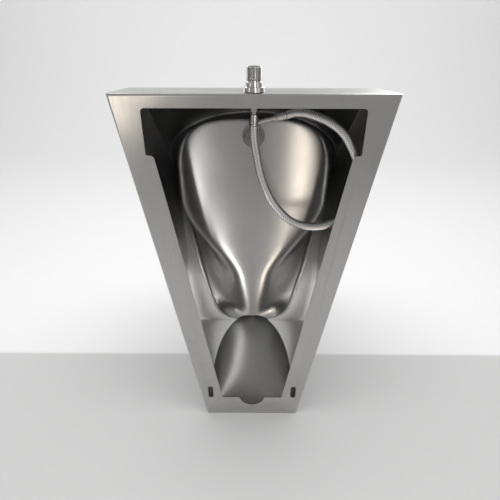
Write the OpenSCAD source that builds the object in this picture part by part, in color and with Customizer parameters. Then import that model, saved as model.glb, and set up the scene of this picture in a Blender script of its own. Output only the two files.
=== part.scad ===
// Wall-hung washroom urinal in pressed and folded stainless sheet, with its water inlet inside.
// The wall plane is y = 0, the user stands on the -Y side, +Z is up, and x = 0 is the middle.
// The origin is the middle of the back frame's foot. A depth t in this file means y = -t.

/* [Housing] */
// Width of the back frame at its top
top_w = 386; // [376:1:400]
// Width of the back frame at its foot
bottom_w = 181; // [176:1:196]
// Height of the back frame
frame_h = 600; // [596:1:620]
// Thickness of the housing's sheet
sheet = 1.5; // [1.2:0.1:1.8]
// Depth of the folded edge of the back frame
frame_lip = 8; // [7:0.5:10]
// Outer radius of the back frame's folded edge
fold_r = 4; // [3:0.5:5]
// Depth at which the flat top and the sloping front would meet
hood_corner_t = 140; // [134:1:146]
// Radius of the roll from the top into the sloping front
hood_roll_r = 76; // [40:1:80]
// Depth that the sloping front gains for each millimetre that it drops
hood_slope = 0.8; // [0.76:0.01:0.84]
// Radius of the nose edge where the sloping front turns under
nose_r = 10; // [6:1:14]
// Height of the bend between the chin and the foot panel
bend_z = 174; // [168:1:180]
// Depth of the bend between the chin and the foot panel
bend_t = 80; // [76:1:84]
// Depth that the chin gains for each millimetre that it rises
chin_slope = 0.84; // [0.8:0.01:0.88]
// Depth of the housing at its foot
foot_t = 14; // [12:0.5:18]

/* [Back opening] */
// Width of a side strip of the back frame, square to its edge
strip_w = 39.5; // [36:0.5:42]
// Height of the top strip of the back frame
top_strip_h = 18; // [16:0.5:24]
// Height of the foot strip of the back frame
foot_strip_h = 45; // [40:1:50]
// Width of the straight-sided upper part of the opening
hang_w = 300; // [292:1:304]
// Distance from the top down to where the opening steps in to the slanting strips
step_drop = 80; // [65:1:95]
// Radius of the notch for the waste pipe
notch_r = 25; // [20:0.5:26]
// Height of the centre of the notch
notch_z = 49.7; // [46:0.1:54]
// Width of a fixing slot
slot_w = 10; // [8:0.5:12]
// Length of a fixing slot
slot_h = 30; // [24:1:34]
// Distance from one fixing slot to the other
slot_pitch = 161; // [158:1:164]
// Height of the middle of the fixing slots
slot_z = 59.5; // [58:0.5:66]

/* [Bowl] */
// Widest point of the bowl's mouth
mouth_w = 332; // [320:1:334]
// Distance from the top down to the widest point of the mouth
mouth_drop = 142; // [136:1:150]
// Distance from the top down to the mouth's arch
arch_drop = 43; // [40:1:50]
// Width of the mouth at its foot, before its corners
mouth_foot_w = 126; // [110:1:140]
// Width of the bowl's back
back_w = 246; // [230:1:256]
// Distance from the top down to the top of the bowl's back
back_drop = 38; // [36:1:42]
// Squareness of the top of the bowl's back
back_square = 3.4; // [2.6:0.1:4]
// Depth of the bowl's back from the wall plane
bowl_back_t = 57; // [52:1:60]
// Radius of the back's crown, seen from above
crown_r = 450; // [350:10:600]
// Softness of the edge between the back and the walls
shoulder_soft = 10; // [7:0.5:14]
// Width of the ridge at its foot
ridge_w = 48; // [40:1:60]
// Radius of the ridge's crown at its foot, seen from above
ridge_r = 80; // [60:1:110]
// Rounding of the bowl's flanks behind the nose edge
rim_blend = 35; // [20:1:45]
// Half width of the arched cut-out for the trap
access_a = 80; // [72:1:82]
// Height of the top of the arched cut-out
access_top_z = 186; // [180:1:190]
// Height at which the arched cut-out is widest
access_mid_z = 46; // [40:1:60]

/* [Scoop] */
// Height of the scoop's lip
lip_z = 338; // [326:1:350]
// Depth of the scoop's lip from the wall plane
lip_t = 338; // [325:1:350]
// Radius of the rolled lip
lip_r = 4.5; // [3:0.5:6]
// Distance that the scoop stands in from the sides at its foot
scoop_step = 12; // [9:0.5:13]
// Height at which the scoop's sides run out into the housing's sides
scoop_blend_z = 360; // [345:1:370]
// Roundness of the scoop's section
scoop_round = 2.3; // [2:0.1:2.8]

/* [Sump and waste] */
// Depth of the waste's axis from the wall plane
waste_t = 162; // [158:1:168]
// Height of the flat of the sump pan round the waste
sump_z = 188; // [186:0.5:192]
// Rise of the sump pan for each millimetre away from the waste
sump_fall = 0.11; // [0.06:0.01:0.14]
// Outer diameter of the waste body's fixing thread
waste_d = 50; // [48.5:0.5:52]
// Length of the fixing thread under the flange
waste_fix_h = 17; // [16.5:0.5:20]
// Outer diameter of the outlet thread that takes the trap
outlet_d = 47.8; // [44:0.1:48]
// Bore of the waste body
waste_bore_d = 41; // [36:0.5:42]
// Diameter of the waste body's flange
waste_flange_d = 66; // [62:0.5:72]
// Thickness of the waste body's flange
waste_flange_h = 3; // [2.5:0.1:4]
// Length of the waste body below its flange
waste_len = 42; // [38:1:44]
// Height of the waste locknut
waste_nut_h = 9; // [7:0.5:12]
// Width across the flats of the waste locknut
waste_nut_af = 60; // [56:1:64]
// Diameter of the lift-out strainer
strainer_d = 56; // [52:0.5:58]
// Thickness of the strainer's plate
strainer_h = 2; // [1.5:0.1:3]
// Diameter of a hole in the strainer
strainer_hole_d = 5; // [4:0.5:6]
// Distance from one ring of the strainer's holes to the next
strainer_ring = 9; // [8:0.5:10]
// Diameter of the strainer's knob
knob_d = 12; // [10:0.5:14]
// Height of the strainer's knob above its plate
knob_h = 9; // [7:0.5:11]

/* [Water inlet] */
// Depth of the inlet's axis from the wall plane
inlet_t = 20; // [20:0.5:24]
// Outer diameter of the inlet's thread
inlet_d = 20.96; // [20.9:0.01:21]
// Bore of the inlet nipple
inlet_bore_d = 15; // [14.5:0.5:16]
// Length of the inlet's thread above the housing
inlet_thread_h = 17; // [14:0.5:20]
// Diameter of the collar that sits on the housing
collar_d = 28; // [26:0.5:28]
// Height of the collar
collar_h = 7; // [5:0.5:9]
// Diameter of the smooth shank above the collar
shank_d = 22.2; // [21.5:0.1:24]
// Height of the smooth shank
shank_h = 6; // [4:0.5:8]
// Length of the inlet's thread below the collar
tail_h = 16; // [15:0.5:16]
// Width across the flats of the two locknuts of the water inlet
nut_af = 27; // [25:0.5:28]
// Height of the inlet locknut
nut_h = 6; // [5:0.5:7]
// Distance from the top down to the spreader's axis
spreader_drop = 63; // [61:0.5:66]
// Diameter of the spreader's thread
spigot_d = 20.96; // [20.9:0.01:21]
// Diameter of the spreader's head in the bowl
head_d = 32; // [30:0.5:34]
// Diameter of the round washer behind the bowl
washer_d = 34; // [32:0.5:35]
// Outer diameter of the braided hose
hose_d = 12; // [11:0.5:12.5]
// Diameter of a crimped ferrule
ferrule_d = 11.4; // [10.5:0.1:12]
// Length of a crimped ferrule
ferrule_l = 12.5; // [11:0.5:13]

/* [Fits] */
// Gap between two pieces that are welded or seated on each other
seat_gap = 0.15; // [0.1:0.05:0.25]
// Radial gap round a thread or a spigot
thread_gap = 0.25; // [0.2:0.05:0.4]
// Radial gap round the lift-out strainer
strainer_gap = 0.5; // [0.3:0.1:0.8]

/* [Hidden] */
$fn = 64;

steel = [0.72, 0.72, 0.71];
dark_steel = [0.62, 0.62, 0.61];
bright_steel = [0.82, 0.82, 0.83];
braid_grey = [0.68, 0.68, 0.69];
rubber_black = [0.12, 0.12, 0.12];

// Heights that are measured down from the housing's top
step_z = frame_h - step_drop;
mouth_z = frame_h - mouth_drop;
mouth_top_z = frame_h - arch_drop;
back_top_z = frame_h - back_drop;
spreader_z = frame_h - spreader_drop;

// Taper of the housing's sides
taper = (top_w - bottom_w) / 2 / frame_h;
taper_deg = atan(taper);
// Depth and height of the nose edge, where the sloping front meets the chin
nose_z = (hood_corner_t + hood_slope * frame_h - bend_t + chin_slope * bend_z) / (hood_slope + chin_slope);
nose_t = bend_t + chin_slope * (nose_z - bend_z);
// How far a cutting body runs past what it cuts
past = 2;

// Half of the housing's outer width at height z
function half_w(z) = bottom_w / 2 + taper * z;

function unit(v) = v / norm(v);
function sgn(a) = a < 0 ? -1 : 1;
function flip(list) = [for (i = [len(list) - 1 : -1 : 0]) list[i]];
// Signed power, for the rounded sections
function spow(a, e) = sgn(a) * pow(abs(a), e);

// Points of an arc that rounds the corner b of the path a, b, c to radius r
function corner(a, b, c, r, steps) =
    r == 0 ? [b] :
    let (u = unit(a - b), v = unit(c - b), half = acos(u * v) / 2, back = r / tan(half),
        from = b + u * back, to = b + v * back, mid = b + unit(u + v) * r / sin(half),
        p = from - mid, q = to - mid, sweep = acos(p * q / r / r),
        side = unit(q - p * cos(sweep)) * r)
    [for (i = [0 : steps]) mid + p * cos(sweep * i / steps) + side * sin(sweep * i / steps)];

// A path with rounded corners: each entry is [x, y, radius]
function rounded(pts, steps = 8) = [for (i = [0 : len(pts) - 1])
    each (i == 0 || i == len(pts) - 1 ? [[pts[i][0], pts[i][1]]] :
        corner([pts[i - 1][0], pts[i - 1][1]], [pts[i][0], pts[i][1]],
            [pts[i + 1][0], pts[i + 1][1]], pts[i][2], steps))];

// The same path moved by d to its left
function inset(path, d) = [for (i = [0 : len(path) - 1])
    let (a = unit(path[max(i, 1)] - path[max(i, 1) - 1]),
        b = unit(path[min(i + 1, len(path) - 1)] - path[min(i + 1, len(path) - 1) - 1]),
        na = [-a[1], a[0]], nb = [-b[1], b[0]])
    path[i] + (na + nb) / (1 + na * nb) * d];

// Side view of the housing's outer skin as [depth, height], from its foot up and over to the wall
skin = rounded([[sheet, 0, 0], [foot_t, 0, 3], [bend_t, bend_z, 12], [nose_t, nose_z, nose_r],
    [hood_corner_t, frame_h, hood_roll_r], [frame_lip, frame_h, 0]]);
skin_in = inset(skin, sheet);
// Depth of the outer skin at height z, below the roll of the hood
function skin_t(z) = lookup(z, [for (p = skin) if (p[0] > foot_t - 1) [p[1], p[0]]]);

// Profile given as [x, z], run forward from depth t0 to depth t1
module forward(t0, t1) {
    translate([0, -t0, 0]) rotate([90, 0, 0]) linear_extrude(t1 - t0) children();
}

// Profile given as [depth, z], run across the housing
module across(width) {
    rotate([0, 0, -90]) rotate([90, 0, 0]) linear_extrude(width, center = true) children();
}

// Outline of the housing seen from the wall, moved in by d and stretched by e at its two ends
module back_outline(d = 0, e = 0) {
    side = d / cos(taper_deg);
    polygon([[half_w(-e) - side, -e], [half_w(frame_h - d + e) - side, frame_h - d + e],
        [side - half_w(frame_h - d + e), frame_h - d + e], [side - half_w(-e), -e]]);
}

// What an edge of radius r loses when it is rounded
module edge_waste(length, r) {
    linear_extrude(length, center = true) difference() {
        translate([-1, -1]) square(r + 1);
        translate([r, r]) circle(r);
    }
}

// Block of the back frame, with its top and side edges rounded to r at depth t0
module frame_block(d, r, t0, t1) {
    slant = frame_h / cos(taper_deg);
    difference() {
        forward(t0, t1) back_outline(d);
        translate([0, -t0, frame_h - d]) mirror([0, 1, 0]) rotate([0, 90, 0])
            edge_waste(top_w + 2 * past, r);
        for (side = [0, 1]) mirror([side, 0, 0])
            translate([bottom_w / 2, -t0, 0]) rotate([0, taper_deg, 0])
            translate([-d, 0, slant / 2]) rotate([0, 0, 180]) edge_waste(slant + 20, r);
    }
}

// Half width of the back opening beside the slanting strips
function strip_x(z) = half_w(z) - strip_w / cos(taper_deg);

// Right half of the back opening, from its top down to its foot
opening_half = rounded([[0, frame_h - top_strip_h, 0], [hang_w / 2, frame_h - top_strip_h, 5],
    [hang_w / 2, step_z, 3], [strip_x(step_z), step_z, 6], [strip_x(foot_strip_h), foot_strip_h, 2],
    [0, foot_strip_h, 0]], 6);

module back_opening() {
    polygon(concat(opening_half, [for (p = flip(opening_half)) [-p[0], p[1]]]));
}

module slot(w, h) {
    square([w, h - w], center = true);
    for (side = [-1, 1]) translate([0, side * (h - w) / 2]) circle(d = w);
}

// Laser-cut wall frame with the big opening, two fixing slots and the notch for the waste pipe
module back_frame() {
    color(steel) intersection() {
        difference() {
            frame_block(0, fold_r, 0, frame_lip);
            frame_block(sheet, fold_r - sheet, sheet, frame_lip + past);
            forward(-past, frame_lip + past) {
                back_opening();
                translate([0, notch_z]) circle(notch_r);
                for (side = [-1, 1]) translate([side * slot_pitch / 2, slot_z]) slot(slot_w, slot_h);
            }
            forward(sheet, frame_lip + past) translate([-bottom_w, -past])
                square([2 * bottom_w, past + sheet + seat_gap]);
        }
        across(top_w + past) polygon(concat([[-past, 0]], skin, [[-past, frame_h]]));
    }
}

// Flat side of the housing, square to the wall and inside the folded front
module side_panel() {
    edge = [for (p = inset(skin, sheet + 3 * seat_gap)) if (p[0] > frame_lip + 1)
        [p[0], p[1] / cos(taper_deg)]];
    back = frame_lip + seat_gap;
    translate([bottom_w / 2, 0, 0]) rotate([0, taper_deg, 0]) translate([-sheet / 2, 0, 0])
        across(sheet) polygon(concat([[back, edge[0][1]]], edge, [[back, edge[len(edge) - 1][1]]]));
}

module left_side_panel() {
    color(dark_steel) mirror([1, 0, 0]) side_panel();
}

module right_side_panel() {
    color(dark_steel) side_panel();
}

// Half width of the mouth at height z: half an ellipse above, a long taper with round corners below
function mouth_half(z) =
    z >= mouth_z ? mouth_w / 2 * sqrt(1 - pow(min(1, (z - mouth_z) / (mouth_top_z - mouth_z)), 2))
    : let (h = min(1, (mouth_z - z) / (mouth_z - bend_z)))
        mouth_w / 2 * (1 - (1 - mouth_foot_w / mouth_w) * pow(h, 1.45)) * sqrt(1 - pow(h, 40));

// Point [x, z] of the mouth's outline at angle a
function mouth_flat(a) =
    sin(a) >= 0 ? [mouth_w / 2 * cos(a), mouth_z + (mouth_top_z - mouth_z) * sin(a)]
    : let (z = mouth_z - (mouth_z - bend_z) * pow(-sin(a), 1.1)) [sgn(cos(a)) * mouth_half(z), z];

// The same point, kept inside the side panels
function mouth(a) =
    let (p = mouth_flat(a), limit = half_w(p[1]) - sheet / cos(taper_deg) - 2 * seat_gap)
    [sgn(p[0]) * min(abs(p[0]), limit), p[1]];

mouth_steps = 72;
mouth_path = [for (i = [0 : mouth_steps - 1]) mouth(360 * i / mouth_steps)];

// The mouth's outline, a seat gap wider than the bowl's rim
module mouth_hole() {
    polygon([for (p = mouth_path) let (v = p - [0, mouth_z]) p + unit(v) * seat_gap]);
}

// Half width of the arched cut-out at height z
module access_hole() {
    steps = 24;
    foot = access_a * 0.9;
    polygon(concat([[-foot, 2 * sheet]], [for (i = [0 : steps]) let (a = 180 - 180 * i / steps)
        [access_a * cos(a), access_mid_z + (access_top_z - access_mid_z) * sin(a)]],
        [[foot, 2 * sheet]]));
}

// Band of sheet along the skin between heights z0 and z1, as wide as the housing
module skin_band(z0, z1) {
    intersection() {
        across(top_w + past) intersection() {
            polygon(concat(skin, flip(skin_in)));
            translate([sheet, z0]) square([lip_t, z1 - z0]);
        }
        forward(0, lip_t) back_outline(0, past);
    }
}

// Top and sloping front, rolled in one piece, with the arch of the bowl's mouth
module hood_panel() {
    color(steel) difference() {
        skin_band(nose_z + seat_gap, frame_h + past);
        forward(0, lip_t) mouth_hole();
        translate([0, -inlet_t, frame_h - 2 * sheet])
            cylinder(d = inlet_d + 2 * thread_gap, h = 4 * sheet);
    }
}

// Chin and foot panel, bent in one piece, with the bowl's lower mouth and the arched cut-out
module lower_front_plate() {
    color(steel) difference() {
        skin_band(-past, nose_z);
        forward(bend_t - 30, lip_t) mouth_hole();
        forward(foot_t - 4, bend_t + 40) access_hole();
    }
}

// Closed skin between an outer grid of points and the same grid moved by its thickness.
// rows run from the first edge to the last one; wrap joins each row's ends.
function grid_normal(g, i, j, wrap) =
    let (n = len(g[0]), up = g[min(i + 1, len(g) - 1)][j] - g[max(i - 1, 0)][j],
        along = wrap ? g[i][(j + 1) % n] - g[i][(j + n - 1) % n]
            : g[i][min(j + 1, n - 1)] - g[i][max(j - 1, 0)])
    unit(cross(along, up));

function moved(g, d, wrap) = [for (i = [0 : len(g) - 1]) [for (j = [0 : len(g[0]) - 1])
    g[i][j] + d * grid_normal(g, i, j, wrap)]];

// Faces of a grid of m rows and n columns that starts at vertex s
function grid_faces(m, n, s, wrap, turn) = [for (i = [0 : m - 2]) for (j = [0 : n - (wrap ? 1 : 2)])
    let (a = s + i * n + j, b = s + i * n + (j + 1) % n, c = b + n, d = a + n)
    each (turn ? [[a, c, b], [a, d, c]] : [[a, b, c], [a, c, d]])];

// Depth of the rim, rounded over the nose edge everywhere but at the rim itself (in = 1)
function rim_t(z, in) =
    let (h = hood_corner_t + hood_slope * (frame_h - z), c = bend_t + chin_slope * (z - bend_z),
        soft = (h + c) / 2 - sqrt(pow((h - c) / 2, 2) + rim_blend * rim_blend))
    soft + (skin_t(z) - soft) * pow(in, 6);

// How far height z lies from the widest point of the mouth down to its foot, from 0 to 1
function low(z) = max(0, (mouth_z - z) / (mouth_z - bend_z));

// Half width of the bowl's back, which narrows to a ridge on its way down
function back_half(z) =
    let (q = min(1, max(0, (0.64 - low(z)) / 0.54)), ridge = ridge_w / 2 + 0.16 * (z - bend_z))
    ridge + (back_w / 2 - ridge) * q * q * (3 - 2 * q);

// Depth of the back at x and height z, without the walls
function back_t(x, z) =
    let (h = low(z), b = back_half(z), bulge = 0.5 / crown_r + (0.5 / ridge_r) * h * h)
    bowl_back_t + (bend_t - bowl_back_t) * h * h + bulge * x * x / (1 + 0.5 * pow(x / b, 2));

// Goes from 0 to 1 along a section: it starts to rise at the share at, with a soft turn of width e
function soft(u, e) = (u + sqrt(u * u + 4 * e * e)) / 2;
function turn(c, at, e) = (soft(c - at, e) - soft(-at, e) * (1 - c)) / soft(1 - at, e);
function turn_e(at, z) = shoulder_soft * (1 - at) / (rim_t(z, 0) - back_t(0, z));

// Depth of the bowl's dry side at x and height z, from the middle of the mouth down
function bowl_t(x, z) =
    let (w = mouth_half(z), in = w < 0.01 ? 1 : min(1, abs(x) / w), at = min(0.85, back_half(z) / max(w, 1)),
        rim = rim_t(z, in), rest = 1 - turn(in, at, turn_e(at, z)))
    rim - (rim - back_t(x, z)) * pow(max(0, rest), 1 + 0.6 * min(1, 1.8 * low(z)));

// Bowl: rings of the mouth's outline drawn in towards the middle of the back
bowl_rings = 15;
function bowl_low(m, free, c) =
    let (z = mouth_z + c * (m[1] - mouth_z)) [c * m[0], -bowl_t(c * free[0], z), z];
function bowl_high(m, a, c) =
    let (b = [back_w / 2 * spow(cos(a), 2 / back_square), (back_top_z - mouth_z) * spow(sin(a), 2 / back_square)],
        at = back_w / mouth_w + (0.9 - back_w / mouth_w) * pow(sin(a), 2),
        s = turn(c, at, turn_e(at, mouth_z)), v = [m[0], m[1] - mouth_z],
        q = b / at * c + (v - b - b / at * (1 - at)) * s, z = q[1] + mouth_z, rim = rim_t(z, c))
    [q[0], -rim + (rim - back_t(q[0], mouth_z)) * (1 - s), z];
function bowl_point(a, c) =
    let (m = mouth(a), p = sin(a) < 0 ? bowl_low(m, mouth_flat(a), c) : bowl_high(m, a, c))
    c == 1 ? [m[0], -skin_t(m[1]), m[1]] : p;
bowl_grid = [for (i = [1 : bowl_rings]) [for (j = [0 : mouth_steps - 1])
    bowl_point(360 * j / mouth_steps, sin(90 * i / bowl_rings))]];

module bowl_skin() {
    n = mouth_steps;
    m = bowl_rings;
    inner = moved(bowl_grid, -sheet, true);
    back = [0, -bowl_back_t, mouth_z];
    pts = concat([for (r = bowl_grid) each r], [for (r = inner) each r],
        [back, back - [0, sheet, 0]]);
    rim = [for (j = [0 : n - 1]) let (a = (m - 1) * n + j, b = (m - 1) * n + (j + 1) % n)
        each [[a, b + m * n, b], [a, a + m * n, b + m * n]]];
    caps = [for (j = [0 : n - 1]) let (b = (j + 1) % n)
        each [[2 * m * n, j, b], [2 * m * n + 1, m * n + b, m * n + j]]];
    polyhedron(pts, concat(grid_faces(m, n, 0, true, true), grid_faces(m, n, m * n, true, false),
        rim, caps));
}

// Pressed bowl: arched roof, broad back and a ridge that runs down to the arched cut-out
module bowl_shell() {
    color(steel) difference() {
        bowl_skin();
        forward(foot_t, bend_t + 60) access_hole();
        translate([0, -bowl_back_t + 5, spreader_z]) rotate([90, 0, 0])
            cylinder(d = spigot_d + 2 * thread_gap, h = 15);
    }
}

// Half width of the scoop where it meets the chin and the foot panel
function scoop_w(z) = half_w(z) - scoop_step * max(0, 1 - pow(z / scoop_blend_z, 2));
// Depth of the scoop's middle line
function scoop_t(z) = scoop_foot_t + (lip_t - scoop_foot_t) * pow(z / lip_z, 0.62);

// Height at which the scoop's sides end, just under the nose edge
scoop_top_z = nose_z - nose_r;
scoop_foot_t = foot_t + 2 * sheet;
scoop_rows = 15;
scoop_cols = 33;
// Point of the scoop: u runs from side to side and v from the foot to the rim
function scoop_point(u, v) =
    let (top = lip_z + (scoop_top_z - lip_z) * u * u, a = 90 * u,
        z = v < 0.5 ? bend_z * pow(2 * v, 1.2) : bend_z + (top - bend_z) * (2 * v - 1),
        back = max(skin_t(z), foot_t + (bend_t - foot_t) * z / bend_z * (z < bend_z ? 1 : 0)) + 2 * seat_gap,
        e = 2 / scoop_round)
    [scoop_w(z) * spow(sin(a), e), -back - (scoop_t(z) - back) * pow(cos(a), e), z];
scoop_grid = [for (i = [0 : scoop_rows - 1]) [for (j = [0 : scoop_cols - 1])
    scoop_point(2 * j / (scoop_cols - 1) - 1, i / (scoop_rows - 1))]];

// Round bar along a list of points
function bar_points(path, r, sides) = [for (i = [0 : len(path) - 1])
    let (w = unit(path[min(i + 1, len(path) - 1)] - path[max(i - 1, 0)]),
        u = unit(cross(abs(w[2]) > 0.9 ? [0, 1, 0] : [0, 0, 1], w)), v = cross(w, u))
    [for (k = [0 : sides - 1]) path[i] + r * (u * cos(360 * k / sides) + v * sin(360 * k / sides))]];

module bar(path, r, sides) {
    g = bar_points(path, r, sides);
    last = (len(path) - 1) * sides;
    polyhedron([for (ring = g) each ring], concat(grid_faces(len(path), sides, 0, true, true),
        [[for (k = [0 : sides - 1]) k]], [[for (k = [sides - 1 : -1 : 0]) last + k]]));
}

// Rows of the scoop's inside, one sheet away from its outside
scoop_offset = moved(scoop_grid, -sheet, false);
scoop_inner = [for (i = [0 : scoop_rows - 1]) [for (j = [0 : scoop_cols - 1]) let (p = scoop_offset[i][j])
    j == 0 || j == scoop_cols - 1 ? scoop_grid[i][j] - [sgn(p[0]) * sheet, 0, 0]
        : [p[0], min(p[1], -skin_t(p[2]) - 2 * seat_gap), p[2]]]];

// Rolled lip: an arc from the outside over the rim to the inside, which flattens out at the ends
lip_steps = 10;
function lip_point(j, k) =
    let (m = scoop_rows - 1, n = scoop_cols, o = scoop_grid[m][j], i = scoop_inner[m][j], out = unit(o - i),
        half = norm(o - i) / 2, up = unit(cross(out, scoop_grid[m][min(j + 1, n - 1)] - scoop_grid[m][max(j - 1, 0)])),
        end = min(j, n - 1 - j), r = half + (lip_r - half) * min(1, end / 2), open = acos(half / r),
        a = (180 + 2 * open) * k / lip_steps - open)
    (o + i) / 2 + up * sqrt(r * r - half * half) + r * (out * cos(a) + up * sin(a));
lip_rows = [for (k = [1 : lip_steps - 1]) [for (j = [0 : scoop_cols - 1]) lip_point(j, k)]];

// Rounded scoop below the mouth, with a rolled lip; the trap sits inside it
module scoop_shell() {
    n = scoop_cols;
    m = scoop_rows;
    rows = concat(scoop_grid, lip_rows, flip(scoop_inner));
    last = len(rows) - 1;
    foot = [for (j = [0 : n - 2]) let (a = last * n + j) each [[a, j + 1, a + 1], [a, j, j + 1]]];
    sides = [for (i = [0 : m - 2]) let (a = i * n, b = a + n - 1, c = (last - i) * n, d = c + n - 1)
        each [[a + n, a, c], [a + n, c, c - n], [b, b + n, d], [b + n, d - n, d]]];
    ends = [[for (i = [last - m + 1 : -1 : m - 1]) i * n], [for (i = [m - 1 : last - m + 1]) i * n + n - 1]];
    color(steel) polyhedron([for (r = rows) each r],
        concat(grid_faces(last + 1, n, 0, false, true), foot, sides, ends));
}

module ring(od, id, h) {
    difference() {
        cylinder(d = od, h = h);
        translate([0, 0, -past]) cylinder(d = id, h = h + 2 * past);
    }
}

// Hexagon nut with chamfered corners and a plain bore
module nut(af, bore, h) {
    tip = af / cos(30);
    difference() {
        intersection() {
            cylinder(d = tip, h = h, $fn = 6);
            union() {
                cylinder(d1 = af * 1.02, d2 = tip * 1.02, h = h / 4);
                translate([0, 0, h / 4]) cylinder(d = tip * 1.02, h = h / 2);
                translate([0, 0, h * 3 / 4]) cylinder(d1 = tip * 1.02, d2 = af * 1.02, h = h / 4);
            }
        }
        translate([0, 0, -past]) cylinder(d = bore, h = h + 2 * past);
    }
}

module at_waste() {
    translate([0, -waste_t, sump_z]) children();
}

// Half width of the tongue that the sump pan sends into the bowl's foot
pan_tongue = mouth_half(sump_z) - 3 * sheet;
// Radius of the pan's recess round the waste
pan_recess = waste_flange_d / 2 + 3;
// Room for a weld between the pan and the facets of the sheets round it
weld_gap = 0.6;

// Height of the pan's underside at a point [x, depth] of its plan
function pan_under(p) = sump_z - sheet + sump_fall * max(0, norm(p - [0, waste_t]) - pan_recess);

// Point of the scoop's inside at angle a and height z
function pan_edge(a, z) =
    let (e = 2 / scoop_round, back = skin_t(z), slope = scoop_t(z + 1) - scoop_t(z),
        depth = scoop_t(z) - sheet * norm([1, slope]) - weld_gap - back)
    [(scoop_w(z) - sheet - weld_gap) * spow(cos(a), e), back + depth * pow(sin(a), e)];

// Point of the bowl's wet side at x and height z
function pan_tip(x, z) =
    let (run = (bowl_t(x + 1, z) - bowl_t(x - 1, z)) / 2, rise = bowl_t(x, z + 1) - bowl_t(x, z))
    [x, bowl_t(x, z) + sheet * norm([1, run, rise]) + 3 * weld_gap];

// Plan of the sump pan: the inside of the scoop, and the tongue
module sump_plan() {
    steps = 20;
    start_z = sump_z + sheet;
    back = skin_t(sump_z - 2 * sheet);
    polygon(concat([for (i = [0 : 2 * steps]) let (a = 90 * i / steps) pan_edge(a, pan_under(pan_edge(a, start_z)))],
        [[-pan_tongue, back]],
        [for (i = [0 : steps]) let (x = pan_tongue * (2 * i / steps - 1))
            pan_tip(x, pan_under(pan_tip(x, start_z)))],
        [[pan_tongue, back]]));
}

// Dished pan between the lip and the bowl, with a recess and a hole for the waste
module sump_pan() {
    reach = 150;
    hole = waste_d / 2 + thread_gap;
    edge_h = (reach - pan_recess) * sump_fall;
    color(steel) difference() {
        intersection() {
            at_waste() rotate_extrude($fn = 96) polygon([[hole, -waste_flange_h - sheet],
                [pan_recess, -waste_flange_h - sheet], [pan_recess, -sheet], [reach, edge_h - sheet],
                [reach, edge_h], [pan_recess - sheet, 0], [pan_recess - sheet, -waste_flange_h],
                [hole, -waste_flange_h]]);
            mirror([0, 1, 0]) linear_extrude(2 * frame_h) sump_plan();
        }
        for (side = [-1, 1]) translate([side * (top_w / 2 + pan_tongue), 0, 0])
            across(top_w) polygon(concat(inset(skin, -sheet - 2 * seat_gap), [[sheet, frame_h]]));
    }
}

// Waste body: flange, threaded tube and a ledge for the strainer
module waste_body() {
    seat = -waste_flange_h + seat_gap;
    r = outlet_d / 2;
    ledge = strainer_d / 2 + strainer_gap;
    color(bright_steel) at_waste() rotate_extrude($fn = 96) polygon([
        [waste_bore_d / 2, seat - waste_len], [r - 1, seat - waste_len], [r, seat - waste_len + 1],
        [r, seat - waste_fix_h], [waste_d / 2, seat - waste_fix_h + (waste_d - outlet_d) / 2],
        [waste_d / 2, seat], [waste_flange_d / 2, seat], [waste_flange_d / 2, seat + 1],
        [waste_flange_d / 2 - 2, seat + waste_flange_h], [ledge, seat + waste_flange_h],
        [ledge, seat + 1], [waste_bore_d / 2, seat + 1]]);
}

// Lift-out strainer: pierced disc with a raised knob
module waste_strainer() {
    seat = -waste_flange_h + seat_gap + 1 + seat_gap;
    color(steel) at_waste() translate([0, 0, seat]) {
        difference() {
            cylinder(d = strainer_d, h = strainer_h);
            for (ring_no = [1, 2]) for (k = [0 : 6 * ring_no - 1])
                rotate([0, 0, 60 * k / ring_no]) translate([strainer_ring * ring_no, 0, -past])
                cylinder(d = strainer_hole_d, h = strainer_h + 2 * past, $fn = 24);
        }
        cylinder(d = knob_d / 2, h = strainer_h + knob_h * 0.6);
        translate([0, 0, strainer_h + knob_h * 0.55])
            cylinder(d1 = knob_d * 0.6, d2 = knob_d, h = knob_h * 0.25);
        translate([0, 0, strainer_h + knob_h * 0.8])
            cylinder(d1 = knob_d, d2 = knob_d * 0.75, h = knob_h * 0.2);
    }
}

// Underside of the sump pan round the waste
pan_low = -waste_flange_h - sheet - seat_gap;
gasket_h = 2.5;
thin_washer_h = 1.2;

module waste_gasket() {
    color(rubber_black) at_waste() translate([0, 0, pan_low - gasket_h])
        ring(waste_flange_d - 2, waste_d + 2 * thread_gap, gasket_h);
}

module waste_washer() {
    color(bright_steel) at_waste() translate([0, 0, pan_low - gasket_h - seat_gap - thin_washer_h])
        ring(waste_flange_d - 1, waste_d + 2 * thread_gap, thin_washer_h);
}

module waste_locknut() {
    color(bright_steel) at_waste()
        translate([0, 0, pan_low - gasket_h - thin_washer_h - 2 * seat_gap - waste_nut_h])
        nut(waste_nut_af, waste_d + 2 * thread_gap, waste_nut_h);
}

module at_inlet() {
    translate([0, -inlet_t, frame_h]) children();
}

// Union thread that closes the hose into the foot of the nipple
union_d = 13.2;

// Threaded water inlet that stands on the housing's top
module inlet_nipple() {
    r = inlet_d / 2;
    top = collar_h + shank_h + 2 + inlet_thread_h;
    color(bright_steel) at_inlet() rotate_extrude() polygon([
        [union_d / 2 + thread_gap, -tail_h], [r - 1, -tail_h], [r, 1 - tail_h], [r, seat_gap],
        [collar_d / 2 - 1, seat_gap], [collar_d / 2, 1 + seat_gap], [collar_d / 2, collar_h - 1],
        [collar_d / 2 - 1, collar_h], [shank_d / 2, collar_h], [shank_d / 2, collar_h + shank_h],
        [r - 1.5, collar_h + shank_h], [r - 1.5, collar_h + shank_h + 1.5],
        [r, collar_h + shank_h + 2], [r, top - 1.5], [r - 1.5, top], [inlet_bore_d / 2 + 1, top],
        [inlet_bore_d / 2, top - 1], [inlet_bore_d / 2, 2 - tail_h / 2],
        [union_d / 2 + thread_gap, 1 - tail_h / 2]]);
}

seal_h = 2;

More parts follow.
